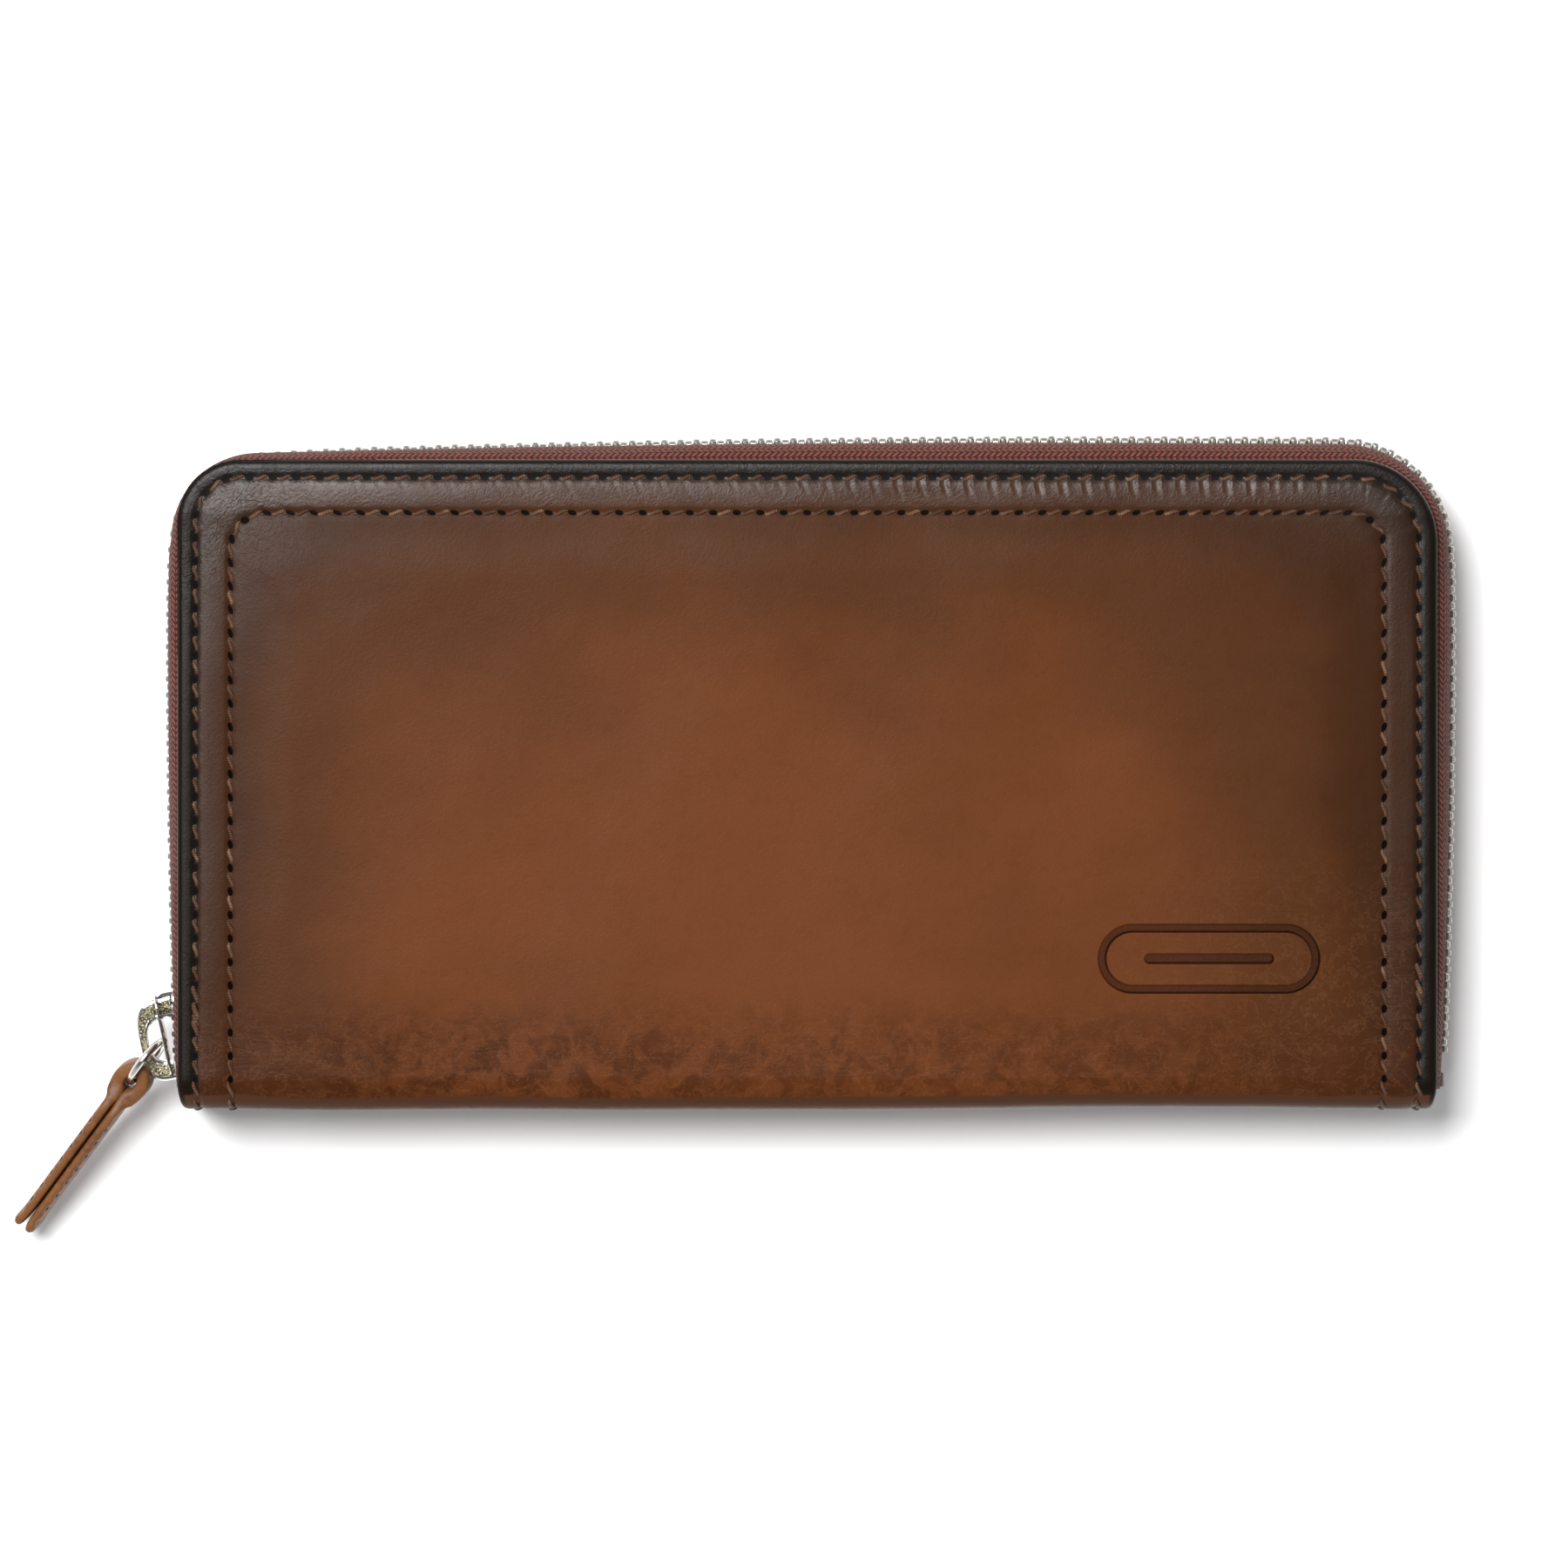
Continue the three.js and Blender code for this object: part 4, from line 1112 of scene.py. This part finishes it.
def build_ring(material):
    """The jump ring, a smooth wire torus leaning a little out of the upright."""
    along = STRAP_ALONG
    across = STRAP_ACROSS * math.cos(RING_LEAN) + STRAP_UP * math.sin(RING_LEAN)
    up = np.cross(along, across)
    turns, sides = 72, 18
    points = []
    for i in range(turns):
        a = 2 * math.pi * i / turns
        spoke = along * math.cos(a) + up * math.sin(a)
        for k in range(sides):
            b = 2 * math.pi * k / sides
            reach = RING_RADIUS + RING_WIRE * math.cos(b)
            points.append(RING_CENTRE + spoke * reach + across * RING_WIRE * math.sin(b))
    ring = make_object("jump_ring_wire", points, tube_faces(turns, sides, looped=True), material)
    fit(ring, "ring", "hardware", "jump_ring")


def on_strap(along, across, up):
    """A point in space from distances along, across and up the strap."""
    return STRAP_PIVOT + STRAP_ALONG * along + STRAP_ACROSS * across + STRAP_UP * up


def strap_centreline():
    """The strap's middle line: out from one tip, round the ring and back to the other tip."""
    half = STRAP_SHEET / 2 + 0.06
    controls = [(STRAP_LENGTH, half + 0.30), (STRAP_LENGTH - 1.5, half + 0.12), (25.0, half),
                (20.0, half), (14.0, half), (9.0, half), (5.0, half), (3.4, half - 0.04), (2.2, 1.02),
                (0.9, 1.75), (-0.6, 1.9), (-1.8, 1.4), (-2.6, 0.6)]
    points = np.array(controls + [(-2.75, 0.0)] + [(x, -y) for x, y in controls[::-1]])
    lengths = arc_lengths(points)
    dense = np.linspace(0, lengths[-1], 400)
    curve = []
    for k in range(2):
        values = np.interp(dense, lengths, points[:, k])
        kernel = np.hanning(17) / np.hanning(17).sum()
        padded = np.concatenate([2 * values[0] - values[8:0:-1], values,
                                 2 * values[-1] - values[-2:-10:-1]])
        curve.append(np.convolve(padded, kernel, "valid"))
    return np.column_stack(curve)


def build_strap(material, thread):
    line = strap_centreline()
    slopes = np.gradient(line, axis=0)
    slopes /= np.linalg.norm(slopes, axis=1)[:, None]
    normals = np.column_stack([slopes[:, 1], -slopes[:, 0]])
    lengths = arc_lengths(line)
    points, tips = [], []
    sides = 28
    for i, ((x, y), normal) in enumerate(zip(line, normals)):
        width = STRAP_NECK + (STRAP_WIDTH - STRAP_NECK) * float(smoothstep(0.5, 5.5, np.array(x)))
        padding = 1 + 0.30 * float(smoothstep(4.5, 1.5, np.array(x))) + 0.40 * float(ridge(x, 2.1, 1.0))
        from_tip = min(lengths[i], lengths[-1] - lengths[i])
        round_off = math.sqrt(max(1 - (1 - min(from_tip / 1.3, 1)) ** 2, 0.0))
        half_width = width / 2 - 1.3 * (1 - round_off)
        half_sheet = STRAP_SHEET / 2 * (0.45 + 0.55 * round_off) * padding
        notch = 0.5 + 0.5 * math.cos(2 * math.pi * x / STRAP_STITCH)
        stitched = float(smoothstep(4.5, 6.5, np.array(x)))
        for k in range(sides):
            a = 2 * math.pi * k / sides
            across = half_sheet * math.copysign(abs(math.cos(a)) ** 0.55, math.cos(a))
            up = half_width * math.copysign(abs(math.sin(a)) ** 0.30, math.sin(a))
            near_edge = smoothstep(0.62, 0.9, abs(up) / half_width)
            if across > 0:
                across -= 0.36 * notch * stitched * near_edge * across / half_sheet
            points.append(on_strap(x + normal[0] * across, y + normal[1] * across, up))
            tips.append(1 - min(from_tip / 1.0, 1.0))
    strap = make_object("pull_strap_leather", points, tube_faces(len(line), sides), material,
                        {"tip": tips})
    fit(strap, "strap", "strap_leather", "pull_strap")

    parts = Parts()
    for face_side in (1, -1):
        for edge in (1, -1):
            for k in range(int((STRAP_LENGTH - 8) / STRAP_STITCH)):
                x = 6.5 + STRAP_STITCH * (k + 0.5)
                y = face_side * (STRAP_SHEET - 0.34)
                place = on_strap(x, y, edge * (STRAP_WIDTH / 2 - 0.95))
                stitch, faces, twist = thread_points(place, STRAP_ALONG, STRAP_ACROSS * face_side, 1.9,
                                                     0.28, 0.30, 4)
                parts.add(stitch, faces, twist=twist)
    stitches = parts.make("strap_stitching", thread)
    fit(stitches, "strap", "thread")


def strap_material():
    shader = Shader("strap_leather")
    fibres = shader.noise(900, 5, 0.65)
    cloud = shader.noise(160, 3)
    tone = shader.plus(shader.times(fibres, 0.55), shader.times(cloud, 0.45))
    colour = shader.ramp(tone, [
        (0.30, (0.080, 0.029, 0.010)),
        (0.50, (0.144, 0.055, 0.0170)),
        (0.72, (0.212, 0.088, 0.031)),
    ])
    painted = shader.smooth(shader.attribute("tip"), 0.35, 0.95)
    colour = shader.mix(painted, colour, (0.060, 0.018, 0.022, 1))
    shader.set(Base_Color=colour, Roughness=0.46, Normal=shader.bump(fibres, 0.00012, 0.8),
               Specular_IOR_Level=0.22, Coat_Weight=0.05, Coat_Roughness=0.40)
    return shader.material


def dark_thread_material():
    shader = Shader("dark_thread")
    strand = shader.smooth(shader.fraction(shader.times(shader.attribute("twist"), 3.0)), 0.1, 0.9)
    colour = shader.ramp(strand, [(0.0, (0.012, 0.008, 0.007)), (1.0, (0.040, 0.026, 0.020))])
    shader.set(Base_Color=colour, Roughness=0.5, Normal=shader.bump(strand, 0.0001, 0.8))
    return shader.material


# ---- Inside: linings, card pockets, coin pocket and gussets ----
def sheet(parts, low, high, axes, corner, edge, puff=None, grid=(60, 40), **attributes):
    """A soft sheet filling a box: rounded corners and edges, with an optional bulge on both faces.

    axes gives the box axes taken as across, along and thickness; thickness may be signed.
    """
    a_axis, b_axis, t_axis, toward = axes
    half_a = (high[a_axis] - low[a_axis]) / 2
    half_b = (high[b_axis] - low[b_axis]) / 2
    half_t = (high[t_axis] - low[t_axis]) / 2
    centre = (np.array(low) + np.array(high)) / 2

    def steps(half, count):
        bulk = np.linspace(-half + edge * 1.5, half - edge * 1.5, count)
        rim = np.array([0, 0.12, 0.35, 0.7, 1.1]) * edge
        return np.concatenate([-half + rim, bulk, (half - rim)[::-1]])

    a_steps, b_steps = steps(half_a, grid[0]), steps(half_b, grid[1])
    a, b = np.meshgrid(a_steps, b_steps)
    past_a = np.clip(np.abs(a) - (half_a - corner), 0, None)
    past_b = np.clip(np.abs(b) - (half_b - corner), 0, None)
    new_a = np.sign(a) * (np.abs(a) - past_a + past_a * np.sqrt(1 - (past_b / corner) ** 2 / 2))
    new_b = np.sign(b) * (np.abs(b) - past_b + past_b * np.sqrt(1 - (past_a / corner) ** 2 / 2))
    from_edge = np.minimum(half_a - np.abs(a), half_b - np.abs(b))
    profile = np.sqrt(np.clip(1 - (1 - np.clip(from_edge / edge, 0, 1)) ** 2, 0, 1))
    lift = puff(new_a, new_b, from_edge) if puff else np.zeros_like(a)
    rows, columns = a.shape
    for face in (1, -1):
        points = np.zeros((rows * columns, 3))
        points[:, a_axis] = centre[a_axis] + new_a.ravel()
        points[:, b_axis] = centre[b_axis] + new_b.ravel()
        offset = face * half_t * (0.15 + 0.85 * profile) + lift
        points[:, t_axis] = centre[t_axis] + toward * offset.ravel()
        orientation = np.linalg.det(np.eye(3)[[a_axis, b_axis, t_axis]]) * toward * face
        start = parts.count
        faces = grid_faces(rows, columns, flip=orientation < 0)
        parts.add(points, faces, edge_distance=from_edge.ravel(), **attributes)
        if face == 1:
            front_start = start
    loop = list(range(columns)) + [r * columns + columns - 1 for r in range(1, rows)]
    loop += [rows * columns - 1 - c for c in range(1, columns)]
    loop += [r * columns for r in range(rows - 2, 0, -1)]
    back_start = front_start + rows * columns
    wall = []
    flip = np.linalg.det(np.eye(3)[[a_axis, b_axis, t_axis]]) * toward > 0
    for i, v in enumerate(loop):
        w = loop[(i + 1) % len(loop)]
        quad = [front_start + v, front_start + w, back_start + w, back_start + v]
        wall.append(quad[::-1] if flip else quad)
    parts.faces.extend(wall)


def straight_stitches(parts, start, end, normal, pitch=3.2, length=2.1):
    """A run of stitches between two points, lying on a face."""
    start, end = np.array(start, float), np.array(end, float)
    span = np.linalg.norm(end - start)
    count = max(int(span / pitch), 1)
    along = (end - start) / span
    for k in range(count):
        place = start + along * span * (k + 0.5) / count
        points, faces, twist = thread_points(place, along, np.array(normal, float), length, 0.24, 0.20, 8)
        parts.add(points, faces, twist=twist)


def node_sheet(node, body, material, slot, axes, corner=1.5, edge=0.45, puff=None, grid=(60, 40),
               name=None):
    low, high = box_mm(node)
    parts = Parts()
    sheet(parts, low, high, axes, corner, edge, puff, grid)
    thing = parts.make(name or node + "_soft", material)
    fit(thing, body, slot, node)
    return low, high


def gentle_puff(size, seed, seam=None):
    """A slight bulge that dies away at the edges and along a middle seam."""
    def puff(a, b, from_edge):
        calm = smoothstep(0.8, 9.0, from_edge)
        if seam:
            calm = calm * smoothstep(0.4, 7.0, np.abs(a))
        rise = size * calm * (1 + 0.35 * soft_noise(a, b, seed, 38))
        edge_line = 0.06 * ridge(from_edge, 0.9, 0.35) - 0.07 * ridge(from_edge, 1.9, 0.4)
        return rise + edge_line
    return puff


def lining_swell(a, b, from_edge):
    """The lining's slight wave, with a crease beside its stitching."""
    return 0.05 * soft_noise(a, b, 31, 30) - 0.10 * ridge(from_edge, 2.4, 0.5)


def build_cover_interior(side, body, leather, thread):
    """Lining and three card pockets on one cover, with their stitching."""
    toward = -side
    axes = (0, 1, 2, toward)
    threads = Parts()
    normal = (0, 0, toward)
    low, high = node_sheet(body + "_lining", body, leather, "inner_leather", axes, 7.0, 0.3,
                           lining_swell, (90, 50))
    face = (low[2] if toward < 0 else high[2]) + toward * 0.06
    inset = 2.4
    for x in (low[0] + inset, high[0] - inset):
        straight_stitches(threads, (x, low[1] + 8, face), (x, high[1] - 8, face), normal)
    for y in (low[1] + inset, high[1] - inset):
        straight_stitches(threads, (low[0] + 8, y, face), (high[0] - 8, y, face), normal)
    for tier in (1, 2, 3):
        node = f"{body}_card_tier_{tier}"
        low, high = node_sheet(node, body, leather, "inner_leather", axes, 2.0, 0.35,
                               gentle_puff(0.10, 40 + tier, seam=True), (90, 30))
        face = (low[2] if toward < 0 else high[2]) + toward * 0.02
        straight_stitches(threads, (low[0] + 3, high[1] - 1.9, face), (high[0] - 3, high[1] - 1.9, face),
                          normal)
        foot = low[1] + 2.0
        for x in (low[0] + 1.9, 0.0, high[0] - 1.9):
            covered = box_mm(f"{body}_card_tier_{tier + 1}")[1][1] if tier < 3 else foot
            straight_stitches(threads, (x, covered, face), (x, high[1] - 3, face), normal)
        if tier == 3:
            straight_stitches(threads, (low[0] + 3, foot, face), (high[0] - 3, foot, face), normal)
    rows = threads.make(body + "_pocket_stitching", thread)
    fit(rows, body, "thread")


def build_gusset(hand, side, leather):
    """One folded gusset leaf pair between a cover and the coin pocket."""
    cover_body = "front" if side > 0 else "back"
    outer_node = f"{hand}_gusset_{cover_body}_cover_leaf"
    inner_node = f"{hand}_gusset_{cover_body}_pocket_leaf"
    outer_low, outer_high = box_mm(outer_node)
    inner_low, inner_high = box_mm(inner_node)
    z_outer = (outer_low[2] + outer_high[2]) / 2
    z_inner = (inner_low[2] + inner_high[2]) / 2
    sign = -1 if hand == "left" else 1
    root = outer_high[0] if hand == "left" else outer_low[0]
    reach = (outer_high[0] - outer_low[0]) - 0.4
    sheet_half = (outer_high[2] - outer_low[2]) / 2 * 0.8
    across = np.linspace(0, 1, 49)
    middle = (z_outer + z_inner) / 2
    spread = (z_outer - z_inner) / 2
    line = []
    for t in across:
        if t < 0.4:
            line.append((reach * 0.84 * t / 0.4, z_outer))
        elif t > 0.6:
            line.append((reach * 0.84 * (1 - t) / 0.4, z_inner))
        else:
            turn = math.pi * ((t - 0.4) / 0.2 - 0.5)
            line.append((reach * 0.84 + reach * 0.16 * math.cos(turn), middle - spread * math.sin(turn)))
    line = np.array(line)
    slope = np.gradient(line, axis=0)
    slope /= np.linalg.norm(slope, axis=1)[:, None]
    normal = np.column_stack([-slope[:, 1], slope[:, 0]])
    loop = np.vstack([line + normal * sheet_half, (line - normal * sheet_half)[::-1]])
    y_low, y_high = outer_low[1], outer_high[1]
    stations = np.linspace(y_low, y_high, 46)
    points = []
    for y in stations:
        sag = 0.985 + 0.015 * math.sin((y - y_low) / 7.0)
        points.append(np.column_stack([root + sign * loop[:, 0] * sag, np.full(len(loop), y), loop[:, 1]]))
    faces = tube_faces(len(stations), len(loop))
    gusset = make_object(f"{hand}_{cover_body}_gusset_fold", np.vstack(points), faces, leather,
                         {"edge_distance": np.full(len(stations) * len(loop), 9.0)})
    finish_metal(gusset, 60)
    if side > 0:
        start, end = MIDDLE - 0.4, MIDDLE + 7.0
    else:
        start, end = MIDDLE - 7.0, MIDDLE + 0.4
    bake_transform(gusset, "back", "front", start=(0, SPINE * MM, start * MM), end=(0, SPINE * MM, end * MM))
    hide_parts(outer_node, inner_node)


def build_coin_pocket(leather, cloth, metal, thread):
    """The zipped middle pocket: two panels, their hems and fold, and the small zip."""
    body = "coin_pocket"
    threads = Parts()
    for side, face_name in ((1, "front"), (-1, "back")):
        toward = side
        low, high = node_sheet(f"coin_pocket_{face_name}_panel", body, leather, "inner_leather",
                               (0, 1, 2, toward), 2.0, 0.4, gentle_puff(0.14, 60 + side), (90, 40))
        face = (high[2] if toward > 0 else low[2]) + toward * 0.03
        normal = (0, 0, toward)
        straight_stitches(threads, (low[0] + 3, high[1] - 1.9, face), (high[0] - 3, high[1] - 1.9, face),
                          normal)
        straight_stitches(threads, (low[0] + 3, low[1] + 1.9, face), (high[0] - 3, low[1] + 1.9, face),
                          normal)
        for x in (low[0] + 1.9, high[0] - 1.9):
            straight_stitches(threads, (x, low[1] + 3, face), (x, high[1] - 3, face), normal)
        low, high = box_mm(f"coin_zip_{face_name}_tape")
        parts = Parts()
        sheet(parts, low, high, (0, 1, 2, toward), 0.6, 0.15, None, (200, 24))
        vertices, faces, attributes = parts.arrays()
        attributes["along"] = vertices[:, 0] + 100
        attributes["across"] = vertices[:, 1] + 100
        attributes["cord"] = (vertices[:, 1] > high[1] - 0.8).astype(float)
        tape = make_object(f"coin_zip_{face_name}_cloth", vertices, faces, cloth, attributes)
        fit(tape, body, "zip_tape", f"coin_zip_{face_name}_tape")
        low, high = box_mm(f"coin_zip_{face_name}_teeth")
        row = Parts()
        small = (high[1] - low[1]) / 2 / TOOTH_DEPTH
        pitch = TOOTH_PITCH * small
        count = int((high[0] - low[0] - 1.5) / pitch)
        for k in range(count):
            x = low[0] + 0.8 + (k + (0.5 if side < 0 else 0.0)) * pitch
            origin = np.array([x, (low[1] + high[1]) / 2, MIDDLE + side * 0.1])
            tooth(row, origin, np.array([1.0, 0, 0]), np.array([0, 1.0, 0]),
                  np.array([0, 0, side * 0.72]), small)
        vertices, faces, attributes = row.arrays()
        teeth = make_object(f"coin_zip_{face_name}_teeth_row", vertices, faces, metal, attributes,
                            smooth=False)
        finish_metal(teeth, 30)
        fit(teeth, body, "zip_metal", f"coin_zip_{face_name}_teeth")

    low, high = box_mm("coin_pocket_bottom_fold")
    build_half_round("coin_pocket_bottom_fold", low, high, leather, along=0, across=1, outward=-1)
    for hand, outward in (("left", -1), ("right", 1)):
        low, high = box_mm(f"coin_pocket_{hand}_hem")
        build_half_round(f"coin_pocket_{hand}_hem", low, high, leather, along=1, across=0,
                         outward=outward)
    rows = threads.make("coin_pocket_stitching", thread)
    fit(rows, body, "thread")


def build_half_round(node, low, high, leather, along, across, outward):
    """A turned leather edge wrapping the pocket's two panels."""
    half = (high[2] - low[2]) / 2
    middle = (high[2] + low[2]) / 2
    depth = high[across] - low[across]
    root = low[across] if outward > 0 else high[across]
    angles = np.linspace(-math.pi / 2, math.pi / 2, 21)
    outer = [(depth * math.cos(a) ** 0.7 if math.cos(a) > 0 else 0.0, half * math.sin(a)) for a in angles]
    inner = [(max(d - 0.45, -0.1), h * 0.88) for d, h in outer]
    loop = np.array(outer + inner[::-1])
    stations = np.linspace(low[along] + 0.1, high[along] - 0.1, 60)
    points = np.zeros((len(stations), len(loop), 3))
    points[:, :, along] = stations[:, None]
    points[:, :, across] = root + outward * loop[None, :, 0]
    points[:, :, 2] = middle + loop[None, :, 1]
    total = len(stations) * len(loop)
    edge = make_object(node + "_turned", points.reshape(-1, 3), tube_faces(len(stations), len(loop)),
                       leather, {"edge_distance": np.full(total, 5.0)})
    finish_metal(edge, 60)
    fit(edge, "coin_pocket", "inner_leather", node)


def build_coin_slider(metal):
    low, high = box_mm("coin_zip_slider")
    centre = (low + high) / 2
    parts = Parts()
    length, width = high[0] - low[0], high[2] - low[2]
    tooth_low, tooth_high = box_mm("coin_zip_front_teeth")
    along, up, wide = np.array([1.0, 0, 0]), np.array([0, 1.0, 0]), np.array([0, 0, 1.0])
    plate_y = tooth_high[1] + 0.8
    rounded_slab(parts, np.array([centre[0], plate_y, centre[2]]), up, along, wide, (0.8, length, width),
                 0.8)
    low_y = tooth_low[1] - 0.8
    rounded_slab(parts, np.array([centre[0], low_y, centre[2]]), up, along, wide, (0.7, length, 1.8), 1.0)
    post = np.array([high[0] - 1.2, (plate_y + low_y) / 2, centre[2]])
    rounded_slab(parts, post, wide, along, up, (0.4, 1.8, plate_y - low_y), 1.0)
    turns, sides = 25, 12
    foot = plate_y + 0.3
    rise = high[1] - foot - 0.45
    points = []
    for i in range(turns):
        a = math.pi * i / (turns - 1)
        x = 1.75 * math.copysign(abs(math.cos(a)) ** 0.6, math.cos(a))
        y = rise * math.sin(a) ** 0.6 if math.sin(a) > 0 else 0.0
        spoke = np.array([math.cos(a), math.sin(a), 0])
        middle = np.array([centre[0] + x, foot + y, centre[2]])
        for k in range(sides):
            b = 2 * math.pi * k / sides
            points.append(middle + spoke * 0.42 * math.cos(b) + wide * 0.55 * math.sin(b))
    parts.add(points, tube_faces(turns, sides))
    slider = parts.make("coin_slider_casting", metal)
    finish_metal(slider, 35)
    fit(slider, "coin_slider", "hardware", "coin_zip_slider")

    low, high = box_mm("coin_zip_pull")
    middle_y, middle_z = (low[1] + high[1]) / 2, (low[2] + high[2]) / 2
    half_width, sheet_half = (high[2] - low[2]) / 2, (high[1] - low[1]) / 2
    turns = 64
    outer, inner = [], []
    for i in range(turns):
        a = 2 * math.pi * i / turns
        u, v = superellipse(a, (high[0] - low[0]) / 2, half_width, 4.5)
        outer.append(((low[0] + high[0]) / 2 + math.copysign(abs(u), math.cos(a)), v))
        u, v = superellipse(a, 1.25, 1.0, 4)
        inner.append((high[0] - 2.25 + math.copysign(abs(u), math.cos(a)), v))
    section = ((0.0, -0.7), (0.0, 0.7), (0.1, 0.95), (0.2, 1.0), (0.8, 1.0), (0.93, 0.92), (1.0, 0.6),
               (1.0, -0.6), (0.93, -0.92), (0.8, -1.0), (0.2, -1.0), (0.1, -0.95))
    points = []
    for (ix, iz), (ox, oz) in zip(inner, outer):
        for share, height in section:
            points.append((ix + (ox - ix) * share, middle_y + sheet_half * height,
                           middle_z + iz + (oz - iz) * share))
    pull = make_object("coin_pull_tab", points, tube_faces(turns, len(section), looped=True), metal)
    finish_metal(pull, 35)
    fit(pull, "coin_pull", "hardware", "coin_zip_pull")


def build_stops(metal):
    """The small metal stops at the ends of the main zip."""
    for node, body in (("front_zip_top_stop", "front"), ("back_zip_top_stop", "back"),
                       ("zip_bottom_stop", "back")):
        low, high = box_mm(node)
        parts = Parts()
        sizes = high - low
        rounded_slab(parts, (low + high) / 2, np.array([1.0, 0, 0]), np.array([0, 1.0, 0]),
                     np.array([0, 0, 1.0]), sizes * 0.96)
        stop = parts.make(node + "_clip", metal)
        finish_metal(stop, 35)
        fit(stop, body, "zip_metal", node)


def inner_leather_material():
    """Smooth tan-brown lining leather with a darker burnished edge."""
    shader = Shader("inner_leather")
    cloud = shader.noise(45, 3, 0.55, 0.4)
    grain = shader.noise(1300, 4, 0.6)
    colour = shader.ramp(shader.plus(shader.times(cloud, 0.8), shader.times(grain, 0.2)), [
        (0.30, (0.130, 0.050, 0.022)),
        (0.52, (0.185, 0.074, 0.033)),
        (0.75, (0.240, 0.105, 0.050)),
    ])
    edge = shader.smooth(shader.attribute("edge_distance"), 0.1, 0.75, 1.0, 0.0)
    colour = shader.mix(edge, colour, (0.040, 0.014, 0.008, 1))
    pores = shader.plus(shader.times(shader.cells(1700), 0.6), grain)
    shader.set(Base_Color=colour, Roughness=shader.smooth(cloud, 0.3, 0.7, 0.46, 0.56),
               Normal=shader.bump(pores, 0.00005, 0.7), Specular_IOR_Level=0.35)
    return shader.material


# ---- Studio ----
def build_studio():
    reach = 3000.0
    corners = [(-reach, -reach, 0), (reach, -reach, 0), (reach, reach, 0), (-reach, reach, 0)]
    floor = make_object("floor", corners, [(0, 1, 2, 3)])
    floor.location.z = -0.0002
    shader = Shader("studio_floor")
    tint = shader.ramp(shader.noise(3, 1), [(0.0, (0.90, 0.90, 0.90)), (1.0, (0.93, 0.93, 0.93))])
    shader.set(Base_Color=tint, Roughness=0.9, Specular_IOR_Level=0.1, Emission_Color=(1, 1, 1, 1),
               Emission_Strength=0.04)
    floor.data.materials.append(shader.material)

    world = bpy.data.worlds.new("studio")
    bpy.context.scene.world = world
    world.use_nodes = True
    tree = world.node_tree
    place = tree.nodes.new("ShaderNodeTexCoord")
    split = tree.nodes.new("ShaderNodeSeparateXYZ")
    ramp = tree.nodes.new("ShaderNodeValToRGB")
    ramp.color_ramp.elements[0].position = 0.50
    ramp.color_ramp.elements[0].color = (0.78, 0.78, 0.78, 1)
    ramp.color_ramp.elements[1].position = 0.86
    ramp.color_ramp.elements[1].color = (0.10, 0.10, 0.10, 1)
    tree.links.new(place.outputs["Generated"], split.inputs[0])
    tree.links.new(split.outputs["Z"], ramp.inputs["Fac"])
    background = tree.nodes["Background"]
    tree.links.new(ramp.outputs["Color"], background.inputs["Color"])
    background.inputs["Strength"].default_value = 1.0

    def area(name, place, target, size, power):
        light = bpy.data.lights.new(name, "AREA")
        light.shape = "DISK"
        light.size = size
        light.energy = power
        lamp = bpy.data.objects.new(name, light)
        lamp.location = place
        lamp.rotation_euler = (Vector(target) - Vector(place)).to_track_quat("-Z", "Y").to_euler()
        bpy.context.scene.collection.objects.link(lamp)

    area("key", (-0.36, 0.38, 1.36), (0, 0, 0), 0.72, 33.0)

    camera_data = bpy.data.cameras.new("camera")
    camera = bpy.data.objects.new("camera", camera_data)
    distance = 1.4
    frame_width = 0.2362
    camera.location = (-0.0035, 0.0003, distance + THICKNESS * MM)
    camera_data.sensor_width = 36
    camera_data.lens = 36 * distance / frame_width
    camera_data.clip_end = 20
    bpy.context.scene.collection.objects.link(camera)
    bpy.context.scene.camera = camera
    bpy.context.scene.view_settings.view_transform = "Standard"


build_studio()
build_cover_leather(cover_leather_material())
waxed = thread_material()
build_stitching(waxed)
nickel = metal_material("bright_nickel", (0.66, 0.64, 0.60), 0.12)
tooth_metal = metal_material("zip_teeth_metal", (0.40, 0.375, 0.34), 0.24)
cloth = tape_material("zip_tape_cloth", (0.165, 0.046, 0.030), (0.030, 0.0065, 0.0050),
                      (0.120, 0.055, 0.034))
for zip_side, zip_body in ((1, "front"), (-1, "back")):
    build_tape(zip_side, zip_body, cloth)
    build_teeth(zip_side, zip_body, tooth_metal)
build_slider(slider_material())
build_ring(nickel)
build_strap(strap_material(), dark_thread_material())
lining = inner_leather_material()
coin_cloth = tape_material("coin_tape_cloth", (0.30, 0.10, 0.08), (0.10, 0.024, 0.022),
                           (0.30, 0.15, 0.10))
build_stops(tooth_metal)
for inner_side, inner_body in ((1, "front"), (-1, "back")):
    build_cover_interior(inner_side, inner_body, lining, waxed)
    for gusset_hand in ("left", "right"):
        build_gusset(gusset_hand, inner_side, lining)
build_coin_pocket(lining, coin_cloth, tooth_metal, waxed)
build_coin_slider(nickel)
